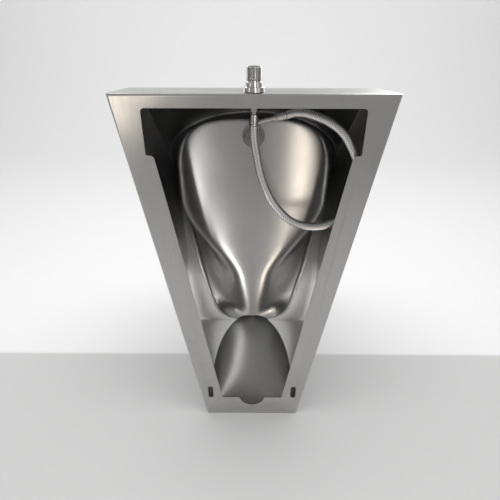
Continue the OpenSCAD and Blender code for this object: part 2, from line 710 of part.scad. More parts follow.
module inlet_seal() {
    color(rubber_black) at_inlet() translate([0, 0, -sheet - seat_gap - seal_h])
        ring(nut_af, inlet_d + 2 * thread_gap, seal_h);
}

module inlet_locknut() {
    color(bright_steel) at_inlet() translate([0, 0, -sheet - 2 * seat_gap - seal_h - nut_h])
        nut(nut_af, inlet_d + 2 * thread_gap, nut_h);
}

// Heights of the hose's first end below the housing's top
union_top = -tail_h - seat_gap;
union_h = 7.4;
neck_h = 4;
ferrule_top = union_top - union_h - neck_h;
crimp_h = 2.2;
hose_start_z = frame_h + ferrule_top - ferrule_l - crimp_h - 2 * seat_gap;

// Small hexagon union with its thread up in the nipple and its neck down in the ferrule
module hose_inlet_union() {
    color(bright_steel) at_inlet() {
        translate([0, 0, union_top]) cylinder(d = union_d, h = tail_h / 2 - 1);
        translate([0, 0, union_top - union_h]) nut(14, 4, union_h);
        translate([0, 0, union_top - union_h / 2]) cylinder(d = 6, h = union_h / 2);
        translate([0, 0, ferrule_top + seat_gap]) ring(8, 5, neck_h);
    }
}

// Crimped sleeve with its end bead
module ferrule() {
    r = ferrule_d / 2;
    rotate_extrude() polygon([[2.5, 0], [r - 1, 0], [r, 1], [r, ferrule_l - 1], [r - 0.6, ferrule_l - 0.5],
        [r - 0.6, ferrule_l + 0.2], [hose_d / 2 - 0.2, ferrule_l + 0.2],
        [hose_d / 2, ferrule_l + 0.6], [hose_d / 2, ferrule_l + crimp_h], [2.5, ferrule_l + crimp_h]]);
}

module hose_inlet_ferrule() {
    color(bright_steel) at_inlet() translate([0, 0, ferrule_top]) rotate([180, 0, 0]) ferrule();
}

// Route of the hose as [x, depth, height above the housing's top], from one ferrule to the other
hose_route = [[0, 20, -54], [-1, 20, -65], [-4, 19, -82], [-9, 18, -106], [-18, 16, -132],
    [-33, 15, -158], [-54, 14, -180], [-76, 13, -190], [-99, 13, -192], [-123, 13, -186],
    [-143, 13, -170], [-154, 14, -146], [-156, 14, -118], [-149, 15, -92], [-138, 17, -70],
    [-125, 20, -52], [-107, 24, -39], [-87, 28, -31], [-70, 31, -27]];
hose_from = [0, inlet_t, hose_start_z];
hose_to = [-46, 34, frame_h - 30];

// Straight run of the hose's second end, from the hose down into the elbow
elbow_t = 38;
barrel_h = 27;
stem_d = 7.4;
stem_to = [-5, elbow_t, spreader_z + barrel_h - 5];
stem_run = stem_to - hose_to;
stem_l = norm(stem_run);

// Smooth curve through the route: each span gets one more point
function span_mid(r, i) = let (a = r[max(i - 1, 0)], b = r[i], c = r[i + 1],
    d = r[min(i + 2, len(r) - 1)]) (9 * (b + c) - a - d) / 16;
function smooth(r) = [for (i = [0 : len(r) - 1]) each (i < len(r) - 1 ? [r[i], span_mid(r, i)] : [r[i]])];
hose_line = concat(smooth(concat([hose_from], [for (p = hose_route) p + [0, 0, frame_h]],
    [hose_to - unit(stem_run) * hose_d])),
    [hose_to - unit(stem_run) * seat_gap]);
hose_path = [for (p = hose_line) [p[0], -p[1], p[2]]];

module supply_hose() {
    color(braid_grey) bar(hose_path, hose_d / 2, 12);
}

// Puts a piece's z axis along that run, at a distance s from the hose
module along_stem(s) {
    d = [stem_run[0], -stem_run[1], stem_run[2]];
    translate([hose_to[0], -hose_to[1], hose_to[2]])
        rotate([0, acos(d[2] / stem_l), atan2(d[1], d[0])]) translate([0, 0, s]) children();
}

module hose_outlet_ferrule() {
    color(bright_steel) along_stem(ferrule_l + crimp_h + seat_gap) rotate([180, 0, 0]) ferrule();
}

stem_from = ferrule_l + crimp_h + 2 * seat_gap;

module hose_outlet_stem() {
    color(bright_steel) {
        along_stem(stem_from) cylinder(d = 10.4, h = 2.4);
        along_stem(stem_from + 2) cylinder(d = stem_d, h = stem_l - stem_from - 2);
    }
}

// Diameter of the elbow's socket and of its barrel
socket_d = spigot_d + 3.5;
barrel_d = stem_d + 7.6;
// Depths of the spreader's pieces on the dry side of the bowl
washer_t = bowl_back_t - 0.4;
washer_h = 1.6;
nut_t = washer_t - washer_h - seat_gap;
socket_t = nut_t - nut_h - 1;
spigot_t = elbow_t + 3;

// Puts a piece's z axis forward, at depth t on the spreader's axis
module on_spreader(t) {
    translate([0, -t, spreader_z]) rotate([90, 0, 0]) children();
}

// Elbow that turns the water from the hose's stem into the spreader
module spreader_elbow() {
    color(bright_steel) difference() {
        union() {
            on_spreader(elbow_t - 4) cylinder(d = socket_d, h = socket_t - elbow_t + 4);
            translate([0, -elbow_t, spreader_z]) cylinder(d = barrel_d, h = barrel_h);
            translate([0, -elbow_t, spreader_z + barrel_h])
                cylinder(d1 = barrel_d, d2 = barrel_d - 3, h = 1.5);
        }
        on_spreader(spigot_t - seat_gap) cylinder(d = spigot_d + 2 * thread_gap, h = 20);
        along_stem(stem_l - 15) cylinder(d = stem_d + 2 * thread_gap, h = 15 + seat_gap);
    }
}

module spreader_locknut() {
    color(bright_steel) on_spreader(nut_t - nut_h) nut(nut_af - 2, spigot_d + 2 * thread_gap, nut_h);
}

module spreader_washer() {
    color(bright_steel) on_spreader(washer_t - washer_h)
        ring(washer_d, spigot_d + 2 * thread_gap, washer_h);
}

seal_t = bowl_back_t + sheet + 1.8;

module spreader_seal() {
    color(rubber_black) on_spreader(seal_t) ring(head_d - 2, spigot_d + 2 * thread_gap, seal_h);
}

// Spreader head in the bowl, with its threaded spigot through the bowl's back
module spray_nozzle() {
    head_t = seal_t + seal_h + seat_gap;
    r = head_d / 2;
    color(bright_steel) difference() {
        union() {
            on_spreader(spigot_t) cylinder(d = spigot_d, h = head_t - spigot_t + 1);
            on_spreader(head_t) rotate_extrude() polygon([[0, 0], [r, 0], [r, 3], [r - 2, 8],
                [r - 6, 12], [r - 11, 14], [0, 15]]);
        }
        on_spreader(spigot_t - past) cylinder(d = 14, h = head_t - spigot_t + 10);
        for (k = [-2 : 2]) translate([0, -head_t - 12, spreader_z]) rotate([0, 18 * k, 0])
            translate([0, 0, -20]) cube([2, 12, 28], center = true);
    }
}

back_frame();
left_side_panel();
right_side_panel();
hood_panel();
lower_front_plate();
bowl_shell();
scoop_shell();
sump_pan();
waste_body();
waste_gasket();
waste_washer();
waste_locknut();
waste_strainer();
inlet_nipple();
inlet_seal();
inlet_locknut();
hose_inlet_union();
hose_inlet_ferrule();
supply_hose();
hose_outlet_ferrule();
hose_outlet_stem();
spreader_elbow();
spreader_locknut();
spreader_washer();
spreader_seal();
spray_nozzle();
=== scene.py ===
"""Dresses the wall-hung urinal: sheet steel, pressed bowl, water inlet, braided hose, studio."""

import logging
import math
from dataclasses import dataclass
from enum import Enum
from functools import cache
from typing import Sequence

import bmesh
import bpy
from mathutils import Matrix, Vector


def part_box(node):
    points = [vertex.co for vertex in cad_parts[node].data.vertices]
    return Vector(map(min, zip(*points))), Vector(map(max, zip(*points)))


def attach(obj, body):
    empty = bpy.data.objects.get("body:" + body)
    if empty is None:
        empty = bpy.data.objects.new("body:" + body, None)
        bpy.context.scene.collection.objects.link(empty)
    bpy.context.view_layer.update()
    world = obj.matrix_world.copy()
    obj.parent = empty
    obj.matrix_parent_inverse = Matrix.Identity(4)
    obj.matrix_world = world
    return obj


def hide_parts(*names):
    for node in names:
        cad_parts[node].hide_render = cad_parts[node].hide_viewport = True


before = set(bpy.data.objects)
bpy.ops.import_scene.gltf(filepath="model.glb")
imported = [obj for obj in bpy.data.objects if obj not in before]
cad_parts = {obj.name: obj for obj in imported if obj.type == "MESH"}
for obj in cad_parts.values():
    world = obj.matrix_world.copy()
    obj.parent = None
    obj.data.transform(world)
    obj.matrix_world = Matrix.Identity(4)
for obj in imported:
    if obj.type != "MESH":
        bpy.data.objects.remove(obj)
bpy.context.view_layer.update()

LOG = logging.getLogger("urinal")
MM = 0.001
BODY = "urinal"
MERGE_DISTANCE = 1e-6
SMOOTH_DEG = 35.0
CRISP_DEG = 30.0
TUBE_DEG = 60.0
NOISE_ROUGHNESS = 0.55
NOISE_RANGE = (0.3, 0.7)
WHITE = (1.0, 1.0, 1.0)
WARM = (1.0, 0.9, 0.76)

Triple = tuple[float, float, float]
Profile = Sequence[tuple[float, float]]
Mesh = bmesh.types.BMesh
Vert = bmesh.types.BMVert
Material = bpy.types.Material
Node = bpy.types.Node
Piece = bpy.types.Object


class Pattern(Enum):
    """Noise on a surface: stretch along X, Y and Z, cells to the metre, number of finer layers."""

    UPRIGHT = ((1.0, 1.0, 0.02), 900.0, 4.0)
    LEVEL = ((0.02, 1.0, 1.0), 900.0, 4.0)
    PRESSED = ((1.0, 1.0, 0.5), 900.0, 4.0)
    SMEARS = ((1.0, 1.0, 0.6), 14.0, 5.0)
    RINGS = ((0.1, 0.1, 1.0), 1800.0, 2.0)
    STAINS = ((1.0, 1.0, 1.0), 90.0, 4.0)
    GRIT = ((1.0, 1.0, 1.0), 1200.0, 2.0)


class Takers(Enum):
    """Pieces that take a light: all of them, all in their shine alone, or the named ones."""

    ALL = ("all",)
    SHINE = ("shine",)
    FLOOR = ("studio_floor",)
    ROUND = (
        "bowl_pressing", "rim_weld", "braided_hose", "inlet_ferrule", "outlet_ferrule", "nipple",
    )
    RIM = ("rim_weld",)
    FITTINGS = ("nipple", "inlet_ferrule", "outlet_ferrule")
    PANELS = ("chin_and_foot", "left_cheek", "right_cheek")
    FRAME = ("wall_frame",)
    SCOOP = ("scoop_pressing", "scoop_lip")

    @property
    def named(self) -> bool:
        """Whether these are named pieces, which a light reaches through their collection."""
        return self not in (Takers.ALL, Takers.SHINE)

    def group(self) -> bpy.types.Collection:
        """Returns the collection that stands for these pieces."""
        name = f"takers_{self.name.lower()}"
        return bpy.data.collections.get(name) or bpy.data.collections.new(name)

    def fill(self) -> None:
        """Puts the finished pieces into their collection."""
        for name in self.value if self.named else ():
            self.group().objects.link(bpy.data.objects[name])


class Graph:
    """Node tree of one procedural material."""

    def __init__(self, name: str, **values: object) -> None:
        """Starts a material with its shader and its output.

        Args:
            name: Name of the material.
            values: Values of the shader's inputs, with underscores for spaces.
        """
        self.material = bpy.data.materials.new(name)
        self.material.use_nodes = True
        self.tree = self.material.node_tree
        self.tree.nodes.clear()
        self.shader = self.node("ShaderNodeBsdfPrincipled", **values)
        self.link(self.shader, "BSDF", self.node("ShaderNodeOutputMaterial"), "Surface")

    def node(self, kind: str, **values: object) -> Node:
        """Adds a node and sets its inputs.

        Args:
            kind: Blender's name of the node type.
            values: Input values by socket name, with underscores for spaces.

        Returns:
            The new node.
        """
        made = self.tree.nodes.new(kind)
        for key, value in values.items():
            made.inputs[key.replace("_", " ")].default_value = value
        return made

    def link(self, source: Node, out: str, target: Node, into: str | int) -> None:
        """Joins one node's output to another node's input."""
        self.tree.links.new(source.outputs[out], target.inputs[into])

    def coordinates(self, scale: Triple, kind: str = "Object") -> Node:
        """Adds the piece's own coordinates, Object or UV, with a factor along each axis.

        Args:
            scale: Factor along each axis.
            kind: Output of the coordinate node, Object or UV.

        Returns:
            The Mapping node.
        """
        mapping = self.node("ShaderNodeMapping", Scale=scale)
        self.link(self.node("ShaderNodeTexCoord"), kind, mapping, "Vector")
        return mapping

    def noise(self, pattern: Pattern) -> Node:
        """Adds a noise pattern on the piece's own coordinates.

        Args:
            pattern: The pattern.

        Returns:
            The noise node.
        """
        stretch, cells, layers = pattern.value
        made = self.node(
            "ShaderNodeTexNoise", Scale=cells, Detail=layers, Roughness=NOISE_ROUGHNESS,
        )
        self.link(self.coordinates(stretch), "Vector", made, "Vector")
        return made

    def spread(self, noise: Node, low: float, high: float) -> Node:
        """Maps the middle range of a noise to values from low to high.

        Args:
            noise: Node with the noise.
            low: Value where it is dark.
            high: Value where it is bright.

        Returns:
            The Map Range node.
        """
        least, most = NOISE_RANGE
        made = self.node(
            "ShaderNodeMapRange", From_Min=least, From_Max=most, To_Min=low, To_Max=high,
        )
        self.link(noise, "Fac", made, "Value")
        return made

    def combined(self, operation: str, out: str, first: Node, second: Node) -> Node:
        """Adds a Math node that works on the same output of two nodes.

        Args:
            operation: Blender's name of the sum.
            out: Name of the output.
            first: Node of the first value.
            second: Node of the second value.

        Returns:
            The Math node.
        """
        made = self.node("ShaderNodeMath")
        made.operation = operation
        self.link(first, out, made, 0)
        self.link(second, out, made, 1)
        return made

    def shade(self, factor: Node, out: str, dark: Triple, light: Triple) -> None:
        """Blends the base colour from dark to light by a node's output.

        Args:
            factor: Node that gives the blend.
            out: Name of its output.
            dark: Colour at zero.
            light: Colour at one.
        """
        ramp = self.node("ShaderNodeValToRGB")
        for stop, colour in zip(ramp.color_ramp.elements, (dark, light)):
            stop.color = (*colour, 1.0)
        self.link(factor, out, ramp, "Fac")
        self.link(ramp, "Color", self.shader, "Base Color")

    def worn(
        self, noise: Node, grey: float, warmth: float, roughness: float, wear: Sequence[float],
    ) -> Node:
        """Varies the tone and the blur of a finish with one noise.

        Args:
            noise: Node with the noise.
            grey: Mean reflectance.
            warmth: How far the tone leans to yellow.
            roughness: Mean blur.
            wear: Least and greatest share of the reflectance, then those of the blur.

        Returns:
            The node that gives the blur.
        """
        dark, light, sharp, dull = wear
        self.shade(noise, "Fac", tone(grey * dark, warmth), tone(grey * light, warmth))
        return self.spread(noise, roughness * sharp, roughness * dull)

    def bump(self, height: Node, out: str, strength: float, distance: float) -> None:
        """Raises the surface by a node's output, by a share of a distance in metres.

        Args:
            height: Node that gives the height.
            out: Name of its output.
            strength: Share of the effect.
            distance: Height at full effect, in metres.
        """
        made = self.node("ShaderNodeBump", Strength=strength, Distance=distance)
        self.link(height, out, made, "Height")
        self.link(made, "Normal", self.shader, "Normal")


def tone(value: float, warmth: float = 0.0) -> Triple:
    """Returns a grey with a touch of warmth, as linear red, green and blue."""
    return (value * (1 + warmth), value, value * (1 - warmth))


@dataclass(frozen=True)
class SheetSteel:
    """Satin stainless sheet with brush marks, faint smears and fine scratches.

    Attributes:
        name: Name of the material.
        grey: Reflectance of the steel; for the panels it also holds painted light, and for the
            scoop painted shade.
        warmth: How far the steel leans to yellow.
        roughness: Blur of its reflections.
        grain: Noise of the brush marks.
        mark_height: Height of the brush marks, in metres.
        stretch: How far its highlights are drawn out upwards.
    """

    name: str
    grey: float
    warmth: float
    roughness: float
    grain: Pattern
    mark_height: float
    stretch: float = 0.0

    WEAR = (0.86, 1.1, 0.86, 1.14)
    SCRATCH = 0.03
    MARK_STRENGTH = 0.35
    QUARTER_TURN = 0.25

    def material(self) -> Material:
        """Returns the procedural material of this finish."""
        g = Graph(self.name, Metallic=1.0)
        marks = g.noise(self.grain)
        smears = g.noise(Pattern.SMEARS)
        blur = g.worn(smears, self.grey, self.warmth, self.roughness, self.WEAR)
        scratch = g.spread(marks, -self.SCRATCH, self.SCRATCH)
        g.link(g.combined("ADD", "Result", blur, scratch), "Value", g.shader, "Roughness")
        g.bump(marks, "Fac", self.MARK_STRENGTH, self.mark_height)
        if self.stretch:
            g.shader.inputs["Anisotropic"].default_value = self.stretch
            g.shader.inputs["Anisotropic Rotation"].default_value = self.QUARTER_TURN
            level = g.node("ShaderNodeTangent")
            level.direction_type = "RADIAL"
            level.axis = "Z"
            g.link(level, "Tangent", g.shader, "Tangent")
        return g.material


@dataclass(frozen=True)
class TurnedMetal:
    """Turned and plated metal with faint tool marks.

    Attributes:
        name: Name of the material.
        grey: Reflectance of the metal.
        warmth: How far it leans to yellow.
        roughness: Blur of its reflections.
    """

    name: str
    grey: float
    warmth: float
    roughness: float

    WEAR = (0.78, 1.08, 0.75, 1.3)
    RING_STRENGTH = 0.3
    RING_HEIGHT = 6e-5

    def material(self) -> Material:
        """Returns the procedural material of this finish."""
        g = Graph(self.name, Metallic=1.0)
        stains = g.noise(Pattern.STAINS)
        blur = g.worn(stains, self.grey, self.warmth, self.roughness, self.WEAR)
        g.link(blur, "Result", g.shader, "Roughness")
        g.bump(g.noise(Pattern.RINGS), "Fac", self.RING_STRENGTH, self.RING_HEIGHT)
        return g.material


@dataclass(frozen=True)
class WireBraid:
    """Braided wire cover of the hose, drawn on the hose's own UV map.

    Attributes:
        name: Name of the material.
        strands: Braid bands round the hose.
        grey: Reflectance of the wire.
    """

    name: str
    strands: int
    grey: float

    ROUGHNESS = 0.36
    # painted shade: the gaps between the wire bands are darkened to this share of the wire's grey,
    # for the shade between the crossing wires
    GAP_SHADE_SHARE = 0.25
    WAVE_SCALE = 0.318
    WIRE_STRENGTH = 0.6
    WIRE_HEIGHT = 4e-4

    def diagonal(self, g: Graph, lean: float) -> Node:
        """Adds one family of slanted bands, which lean to either side of the hose.

        Args:
            g: Graph that takes the nodes.
            lean: 1 or -1, the side that the bands lean to.

        Returns:
            The wave node.
        """
        mapping = g.coordinates((self.strands * lean, self.strands, 1.0), "UV")
        wave = g.node("ShaderNodeTexWave", Scale=self.WAVE_SCALE, Distortion=0.0)
        wave.wave_type = "BANDS"
        wave.bands_direction = "DIAGONAL"
        wave.wave_profile = "SIN"
        g.link(mapping, "Vector", wave, "Vector")
        return wave

    def material(self) -> Material:
        """Returns the procedural material of this finish."""
        g = Graph(self.name, Metallic=1.0, Roughness=self.ROUGHNESS)
        over = g.combined("MAXIMUM", "Fac", self.diagonal(g, 1.0), self.diagonal(g, -1.0))
        g.shade(over, "Value", tone(self.grey * self.GAP_SHADE_SHARE), tone(self.grey))
        g.bump(over, "Value", self.WIRE_STRENGTH, self.WIRE_HEIGHT)
        return g.material


@dataclass(frozen=True)
class Rubber:
    """Matt black sealing rubber.

    Attributes:
        name: Name of the material.
        grey: Reflectance of the rubber.
    """

    name: str
    grey: float

    WEAR = (0.7, 1.3, 0.6, 0.8)
    GRIT_STRENGTH = 0.2
    GRIT_HEIGHT = 1e-4

    def material(self) -> Material:
        """Returns the procedural material of this finish."""
        g = Graph(self.name)
        grit = g.noise(Pattern.GRIT)
        g.link(g.worn(grit, self.grey, 0.0, 1.0, self.WEAR), "Result", g.shader, "Roughness")
        g.bump(grit, "Fac", self.GRIT_STRENGTH, self.GRIT_HEIGHT)
        return g.material


@dataclass(frozen=True)
class PaleStage:
    """Plain pale floor, a shade darker in front of one edge.

    Attributes:
        name: Name of the material.
        near: Grey of the floor on the camera's side of the edge.
        far: Grey beyond the edge.
        edge_y: Place of the edge, in metres.
        blur: Width of the change, in metres.
    """

    name: str
    near: float
    far: float
    edge_y: float
    blur: float

    ROUGHNESS = 0.85
    SHINE = 0.1
    NEAR_WARMTH = 0.004

    def material(self) -> Material:
        """Returns the procedural material of this finish."""
        g = Graph(self.name, Roughness=self.ROUGHNESS, Specular_IOR_Level=self.SHINE)
        parts = g.node("ShaderNodeSeparateXYZ")
        g.link(g.coordinates((1.0, 1.0, 1.0)), "Vector", parts, "Vector")
        edge = self.edge_y
        change = g.node("ShaderNodeMapRange", From_Min=edge - self.blur, From_Max=edge)
        g.link(parts, "Y", change, "Value")
        g.shade(change, "Result", tone(self.far), tone(self.near, self.NEAR_WARMTH))
        return g.material


class Finish(Enum):
    """Every finish of the object, and the floor's."""

    FRAME = SheetSteel("frame_sheet", 0.53, 0.015, 0.31, Pattern.UPRIGHT, 1e-5)
    # painted light: the chin and side panels get a lighter grey than the other steel, so that they
    # look lit inside the housing and bright where the bowl mirrors them
    PANEL = SheetSteel("panel_sheet_painted_light", 0.76, 0.01, 0.42, Pattern.UPRIGHT, 1e-5)
    HOOD = SheetSteel("hood_sheet", 0.55, 0.01, 0.34, Pattern.LEVEL, 6e-6)
    BOWL = SheetSteel("bowl_sheet", 0.46, 0.015, 0.32, Pattern.PRESSED, 8e-6, 0.72)
    # painted shade: the scoop and the sump pan get the darkest grey of the steel, for the shade
    # inside the housing behind the arched cut-out
    SCOOP = SheetSteel("scoop_sheet_painted_shade", 0.38, 0.015, 0.34, Pattern.PRESSED, 8e-6, 0.7)
    WELD = SheetSteel("weld_metal", 0.8, 0.0, 0.34, Pattern.PRESSED, 2e-5)
    WASTE = TurnedMetal("waste_metal", 0.62, 0.0, 0.2)
    ELBOW = TurnedMetal("elbow_metal", 0.34, 0.03, 0.12)
    NICKEL = TurnedMetal("nickel", 0.55, 0.02, 0.17)
    BRAID = WireBraid("braid", 18, 0.56)
    RUBBER = Rubber("seal_rubber", 0.02)
    FLOOR = PaleStage("pale_floor", 0.6, 0.84, -0.164, 0.01)

    @cache
    def material(self) -> Material:
        """Returns this finish's material, which is made once."""
        return self.value.material()


def smooth(data: bpy.types.Mesh, angle: float) -> None:
    """Shades a mesh smooth, but for edges sharper than an angle in degrees."""
    data.shade_smooth()
    data.set_sharp_from_angle(angle=math.radians(angle))


def new_piece(name: str, mesh: Mesh, smooth_angle: float = SMOOTH_DEG) -> Piece:
    """Makes an object of a finished bmesh.

    Args:
        name: Name of the piece.
        mesh: Its geometry, in the row frame; it is freed.
        smooth_angle: Edges sharper than this, in degrees, stay sharp.

    Returns:
        The object, at the origin.
    """
    data = bpy.data.meshes.new(name)
    mesh.to_mesh(data)
    mesh.free()
    smooth(data, smooth_angle)
    made = bpy.data.objects.new(name, data)
    bpy.context.scene.collection.objects.link(made)
    return made


def baked(piece: Piece) -> Piece:
    """Applies every modifier of a piece to its mesh, and returns the piece.

    Args:
        piece: The piece.

    Returns:
        The same piece, with no modifier left.
    """
    graph = bpy.context.evaluated_depsgraph_get()
    data = bpy.data.meshes.new_from_object(piece.evaluated_get(graph))
    piece.modifiers.clear()
    piece.data = data
    smooth(data, SMOOTH_DEG)
    return piece


def cut(piece: Piece, tools: Sequence[Piece]) -> Piece:
    """Takes cutting bodies away from a piece, and removes them from the scene.

    Args:
        piece: The piece to cut.
        tools: The cutting bodies.

    Returns:
        The piece.
    """
    for tool in tools:
        step = piece.modifiers.new("cut", "BOOLEAN")
        step.operation = "DIFFERENCE"
        step.solver = "EXACT"
        step.object = tool
    baked(piece)
    for tool in tools:
        bpy.data.objects.remove(tool)
    return piece


def pressed(name: str, mesh: Mesh, side: float, sheet: float, even: bool) -> Piece:
    """Makes a pressing of its outer side.

    Args:
        name: Name of the piece.
        mesh: Its outer side.
        side: 1 where that side faces the wall, -1 where it faces the user.
        sheet: Thickness of the sheet.
        even: Whether the wall keeps its thickness in tight turns.

    Returns:
        The piece, with its wall as a modifier.
    """
    bmesh.ops.recalc_face_normals(mesh, faces=mesh.faces)
    if side * sum(face.normal.y * face.calc_area() for face in mesh.faces) < 0:
        bmesh.ops.reverse_faces(mesh, faces=mesh.faces)
    piece = new_piece(name, mesh)
    wall = piece.modifiers.new("wall", "SOLIDIFY")
    wall.thickness = sheet
    wall.offset = -1.0
    wall.use_even_offset = even
    return piece


def axis_matrix(origin: Vector, direction: Vector) -> Matrix:
    """Returns the matrix that puts a lathe's Z axis at a place and along a direction."""
    turn = direction.normalized().to_track_quat("Z", "Y").to_matrix().to_4x4()
    return Matrix.Translation(origin) @ turn


def lathe(profile: Profile, place: Matrix, steps: int = 96) -> Mesh:
    """Turns a profile into a closed body.

    Args:
        profile: Points of radius and height, in metres, round the whole section.
        place: Where the axis goes.
        steps: Faces round the body.

    Returns:
        The body.
    """
    mesh = bmesh.new()
    points = [mesh.verts.new((r, 0.0, h)) for r, h in profile]
    edges = [mesh.edges.new(pair) for pair in zip(points, points[1:])]
    if profile[0][0] > 0:
        edges.append(mesh.edges.new((points[-1], points[0])))
    bmesh.ops.spin(
        mesh, geom=points + edges, cent=(0, 0, 0), axis=(0, 0, 1), angle=math.tau,
        steps=steps, use_merge=True,
    )
    bmesh.ops.remove_doubles(mesh, verts=mesh.verts, dist=MERGE_DISTANCE)
    bmesh.ops.recalc_face_normals(mesh, faces=mesh.faces)
    bmesh.ops.transform(mesh, matrix=place, verts=mesh.verts)
    return mesh


def verts_of(geometry: Sequence[object]) -> list[Vert]:
    """Returns the vertices among the elements that an operator made."""
    return [made for made in geometry if isinstance(made, Vert)]


def ring_edges(mesh: Mesh, ring: Sequence[Vert]) -> list[bmesh.types.BMEdge]:
    """Returns the edges that join the vertices of a ring."""
    inside = set(ring)
    return [edge for edge in mesh.edges if edge.verts[0] in inside and edge.verts[1] in inside]


def grown_ring(mesh: Mesh, ring: Sequence[Vert]) -> list[Vert]:
    """Extrudes a ring, and returns the new one in the order of the old one.

    Args:
        mesh: The mesh.
        ring: Vertices of its open ring.

    Returns:
        The new ring's vertices.
    """
    place = {vert: k for k, vert in enumerate(ring)}
    made = verts_of(bmesh.ops.extrude_edge_only(mesh, edges=ring_edges(mesh, ring))["geom"])

    def rank(vert: Vert) -> int:
        """Returns the place of the vertex that this one was extruded from."""
        others = (edge.other_vert(vert) for edge in vert.link_edges)
        return next(place[other] for other in others if other in place)

    return sorted(made, key=rank)


def swept(
    path: Sequence[Vector], radius: float, sides: int, shares: Sequence[float] = (),
) -> Mesh:
    """Sweeps a round section along a path by extruding a circle from point to point.

    Args:
        path: Points of the centre line.
        radius: Radius of the section.
        sides: Sides of the section.
        shares: Share of the radius at each point, or nothing for the whole radius.

    Returns:
        The tube, with a UV map of turns round it and lengths of its girth along it.
    """
    mesh = bmesh.new()
    last = len(path) - 1
    tangents = [
        (path[min(i + 1, last)] - path[max(i - 1, 0)]).normalized() for i in range(last + 1)
    ]
    side = tangents[0].orthogonal().normalized()
    ring = bmesh.ops.create_circle(mesh, segments=sides, radius=radius, cap_ends=False)["verts"]
    rings = []
    for i, (point, tangent) in enumerate(zip(path, tangents)):
        side = (side - tangent * side.dot(tangent)).normalized()
        up = tangent.cross(side)
        reach = radius * (shares[i] if shares else 1.0)
        ring = grown_ring(mesh, ring) if i else ring
        for k, vert in enumerate(ring):
            angle = math.tau * k / sides
            vert.co = point + reach * (side * math.cos(angle) + up * math.sin(angle))
        rings.append(ring)
    bmesh.ops.contextual_create(mesh, geom=rings[0])
    bmesh.ops.contextual_create(mesh, geom=rings[-1])
    bmesh.ops.recalc_face_normals(mesh, faces=mesh.faces)
    wrap_uv(mesh, rings, path, radius)
    return mesh


def wrap_uv(
    mesh: Mesh, rings: Sequence[Sequence[Vert]], path: Sequence[Vector], radius: float,
) -> None:
    """Writes a tube's UV map: u goes once round it, v counts girths along it.

    Args:
        mesh: The tube.
        rings: Its rings of vertices.
        path: Its centre line.
        radius: Its radius.
    """
    layer = mesh.loops.layers.uv.new("UVMap")
    girth = math.tau * radius
    place = {}
    gone = 0.0
    for i, ring in enumerate(rings):
        gone += (path[i] - path[i - 1]).length if i else 0.0
        for k, vert in enumerate(ring):
            place[vert] = (k / len(ring), gone / girth)
    for face in mesh.faces:
        across = [place[loop.vert][0] for loop in face.loops]
        seam = max(across) - min(across) > 0.5
        for loop, u in zip(face.loops, across):
            loop[layer].uv = (u + 1.0 if seam and u < 0.5 else u, place[loop.vert][1])


def paint(piece: Piece, finish: Finish) -> None:
    """Gives a piece its finish as its only material."""
    piece.data.materials.clear()
    piece.data.materials.append(finish.material())


def finish_piece(piece: Piece, finish: Finish, slot: str, *nodes: str) -> None:
    """Gives a new piece its finish and its body, and hides the CAD nodes that it stands for.

    Args:
        piece: The piece.
        finish: Its finish.
        slot: Material slot of the record; not used.
        nodes: CAD nodes that it replaces.
    """
    paint(piece, finish)
    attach(piece, BODY)
    if nodes:
        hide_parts(*nodes)
    LOG.info("made %s with %d faces", piece.name, len(piece.data.polygons))


def signed_power(value: float, exponent: float) -> float:
    """Returns a power that keeps its base's sign, for rounded sections."""
    return math.copysign(abs(value) ** exponent, value)


@dataclass(frozen=True)
class HousingForm:
    """Outer skin of the housing, which the bowl, the scoop and the welds follow.

    Attributes:
        top_half: Half width at the top.
        foot_half: Half width at the foot.
        height: Height of the back frame.
        sheet: Thickness of the sheet.
        gap: Clearance of a piece from its welded neighbours.
        corner_t: Depth at which the top and the sloping front would meet.
        hood_slope: Depth that the sloping front gains as it drops.
        bend_t: Depth of the bend between the chin and the foot panel.
        bend_z: Height of that bend.
        chin_slope: Depth that the chin gains as it rises.
        foot_t: Depth at the foot.
        nose_r: Radius of the nose edge.
        nose_blend: Reach of the nose edge's rounding, as a share of its radius.
    """

    top_half: float = 193 * MM
    foot_half: float = 90.5 * MM
    height: float = 600 * MM
    sheet: float = 1.5 * MM
    gap: float = 0.15 * MM
    corner_t: float = 140 * MM
    hood_slope: float = 0.8
    bend_t: float = 80 * MM
    bend_z: float = 174 * MM
    chin_slope: float = 0.84
    foot_t: float = 14 * MM
    nose_r: float = 10 * MM
    nose_blend: float = 0.35

    @property
    def nose_z(self) -> float:
        """Height of the nose edge."""
        drop = self.hood_t(0.0) - self.chin_t(0.0)
        return drop / (self.hood_slope + self.chin_slope)

    def half_width(self, z: float) -> float:
        """Returns half of the outer width at a height."""
        return self.foot_half + (self.top_half - self.foot_half) * z / self.height

    def hood_t(self, z: float) -> float:
        """Returns the depth of the sloping front at a height."""
        return self.corner_t + self.hood_slope * (self.height - z)

    def chin_t(self, z: float) -> float:
        """Returns the depth of the chin at a height."""
        return self.bend_t + self.chin_slope * (z - self.bend_z)

    def blended_t(self, z: float, blend: float) -> float:
        """Returns the depth of the front at a height, with its nose edge rounded by a length."""
        hood, chin = self.hood_t(z), self.chin_t(z)
        return (hood + chin) / 2 - math.hypot((hood - chin) / 2, blend)

    def skin_t(self, z: float) -> float:
        """Returns the depth of the outer skin at a height, with its rounded nose edge.

        Args:
            z: The height.

        Returns:
            The depth.
        """
        if z < self.bend_z:
            return self.foot_t + (self.bend_t - self.foot_t) * z / self.bend_z
        return self.blended_t(z, self.nose_blend * self.nose_r)


def soft_rise(value: float, width: float) -> float:
    """Returns a ramp that starts softly at zero."""
    return (value + math.sqrt(value * value + 4 * width * width)) / 2


def turn(reach: float, start: float, width: float) -> float:
    """Returns a rise from 0 to 1 along a section.

    Args:
        reach: Share of the section.
        start: Share at which the wall starts.
        width: Softness of the turn there.

    Returns:
        How far the wall has risen.
    """
    rise = soft_rise(reach - start, width) - soft_rise(-start, width) * (1 - reach)
    return rise / soft_rise(1 - start, width)


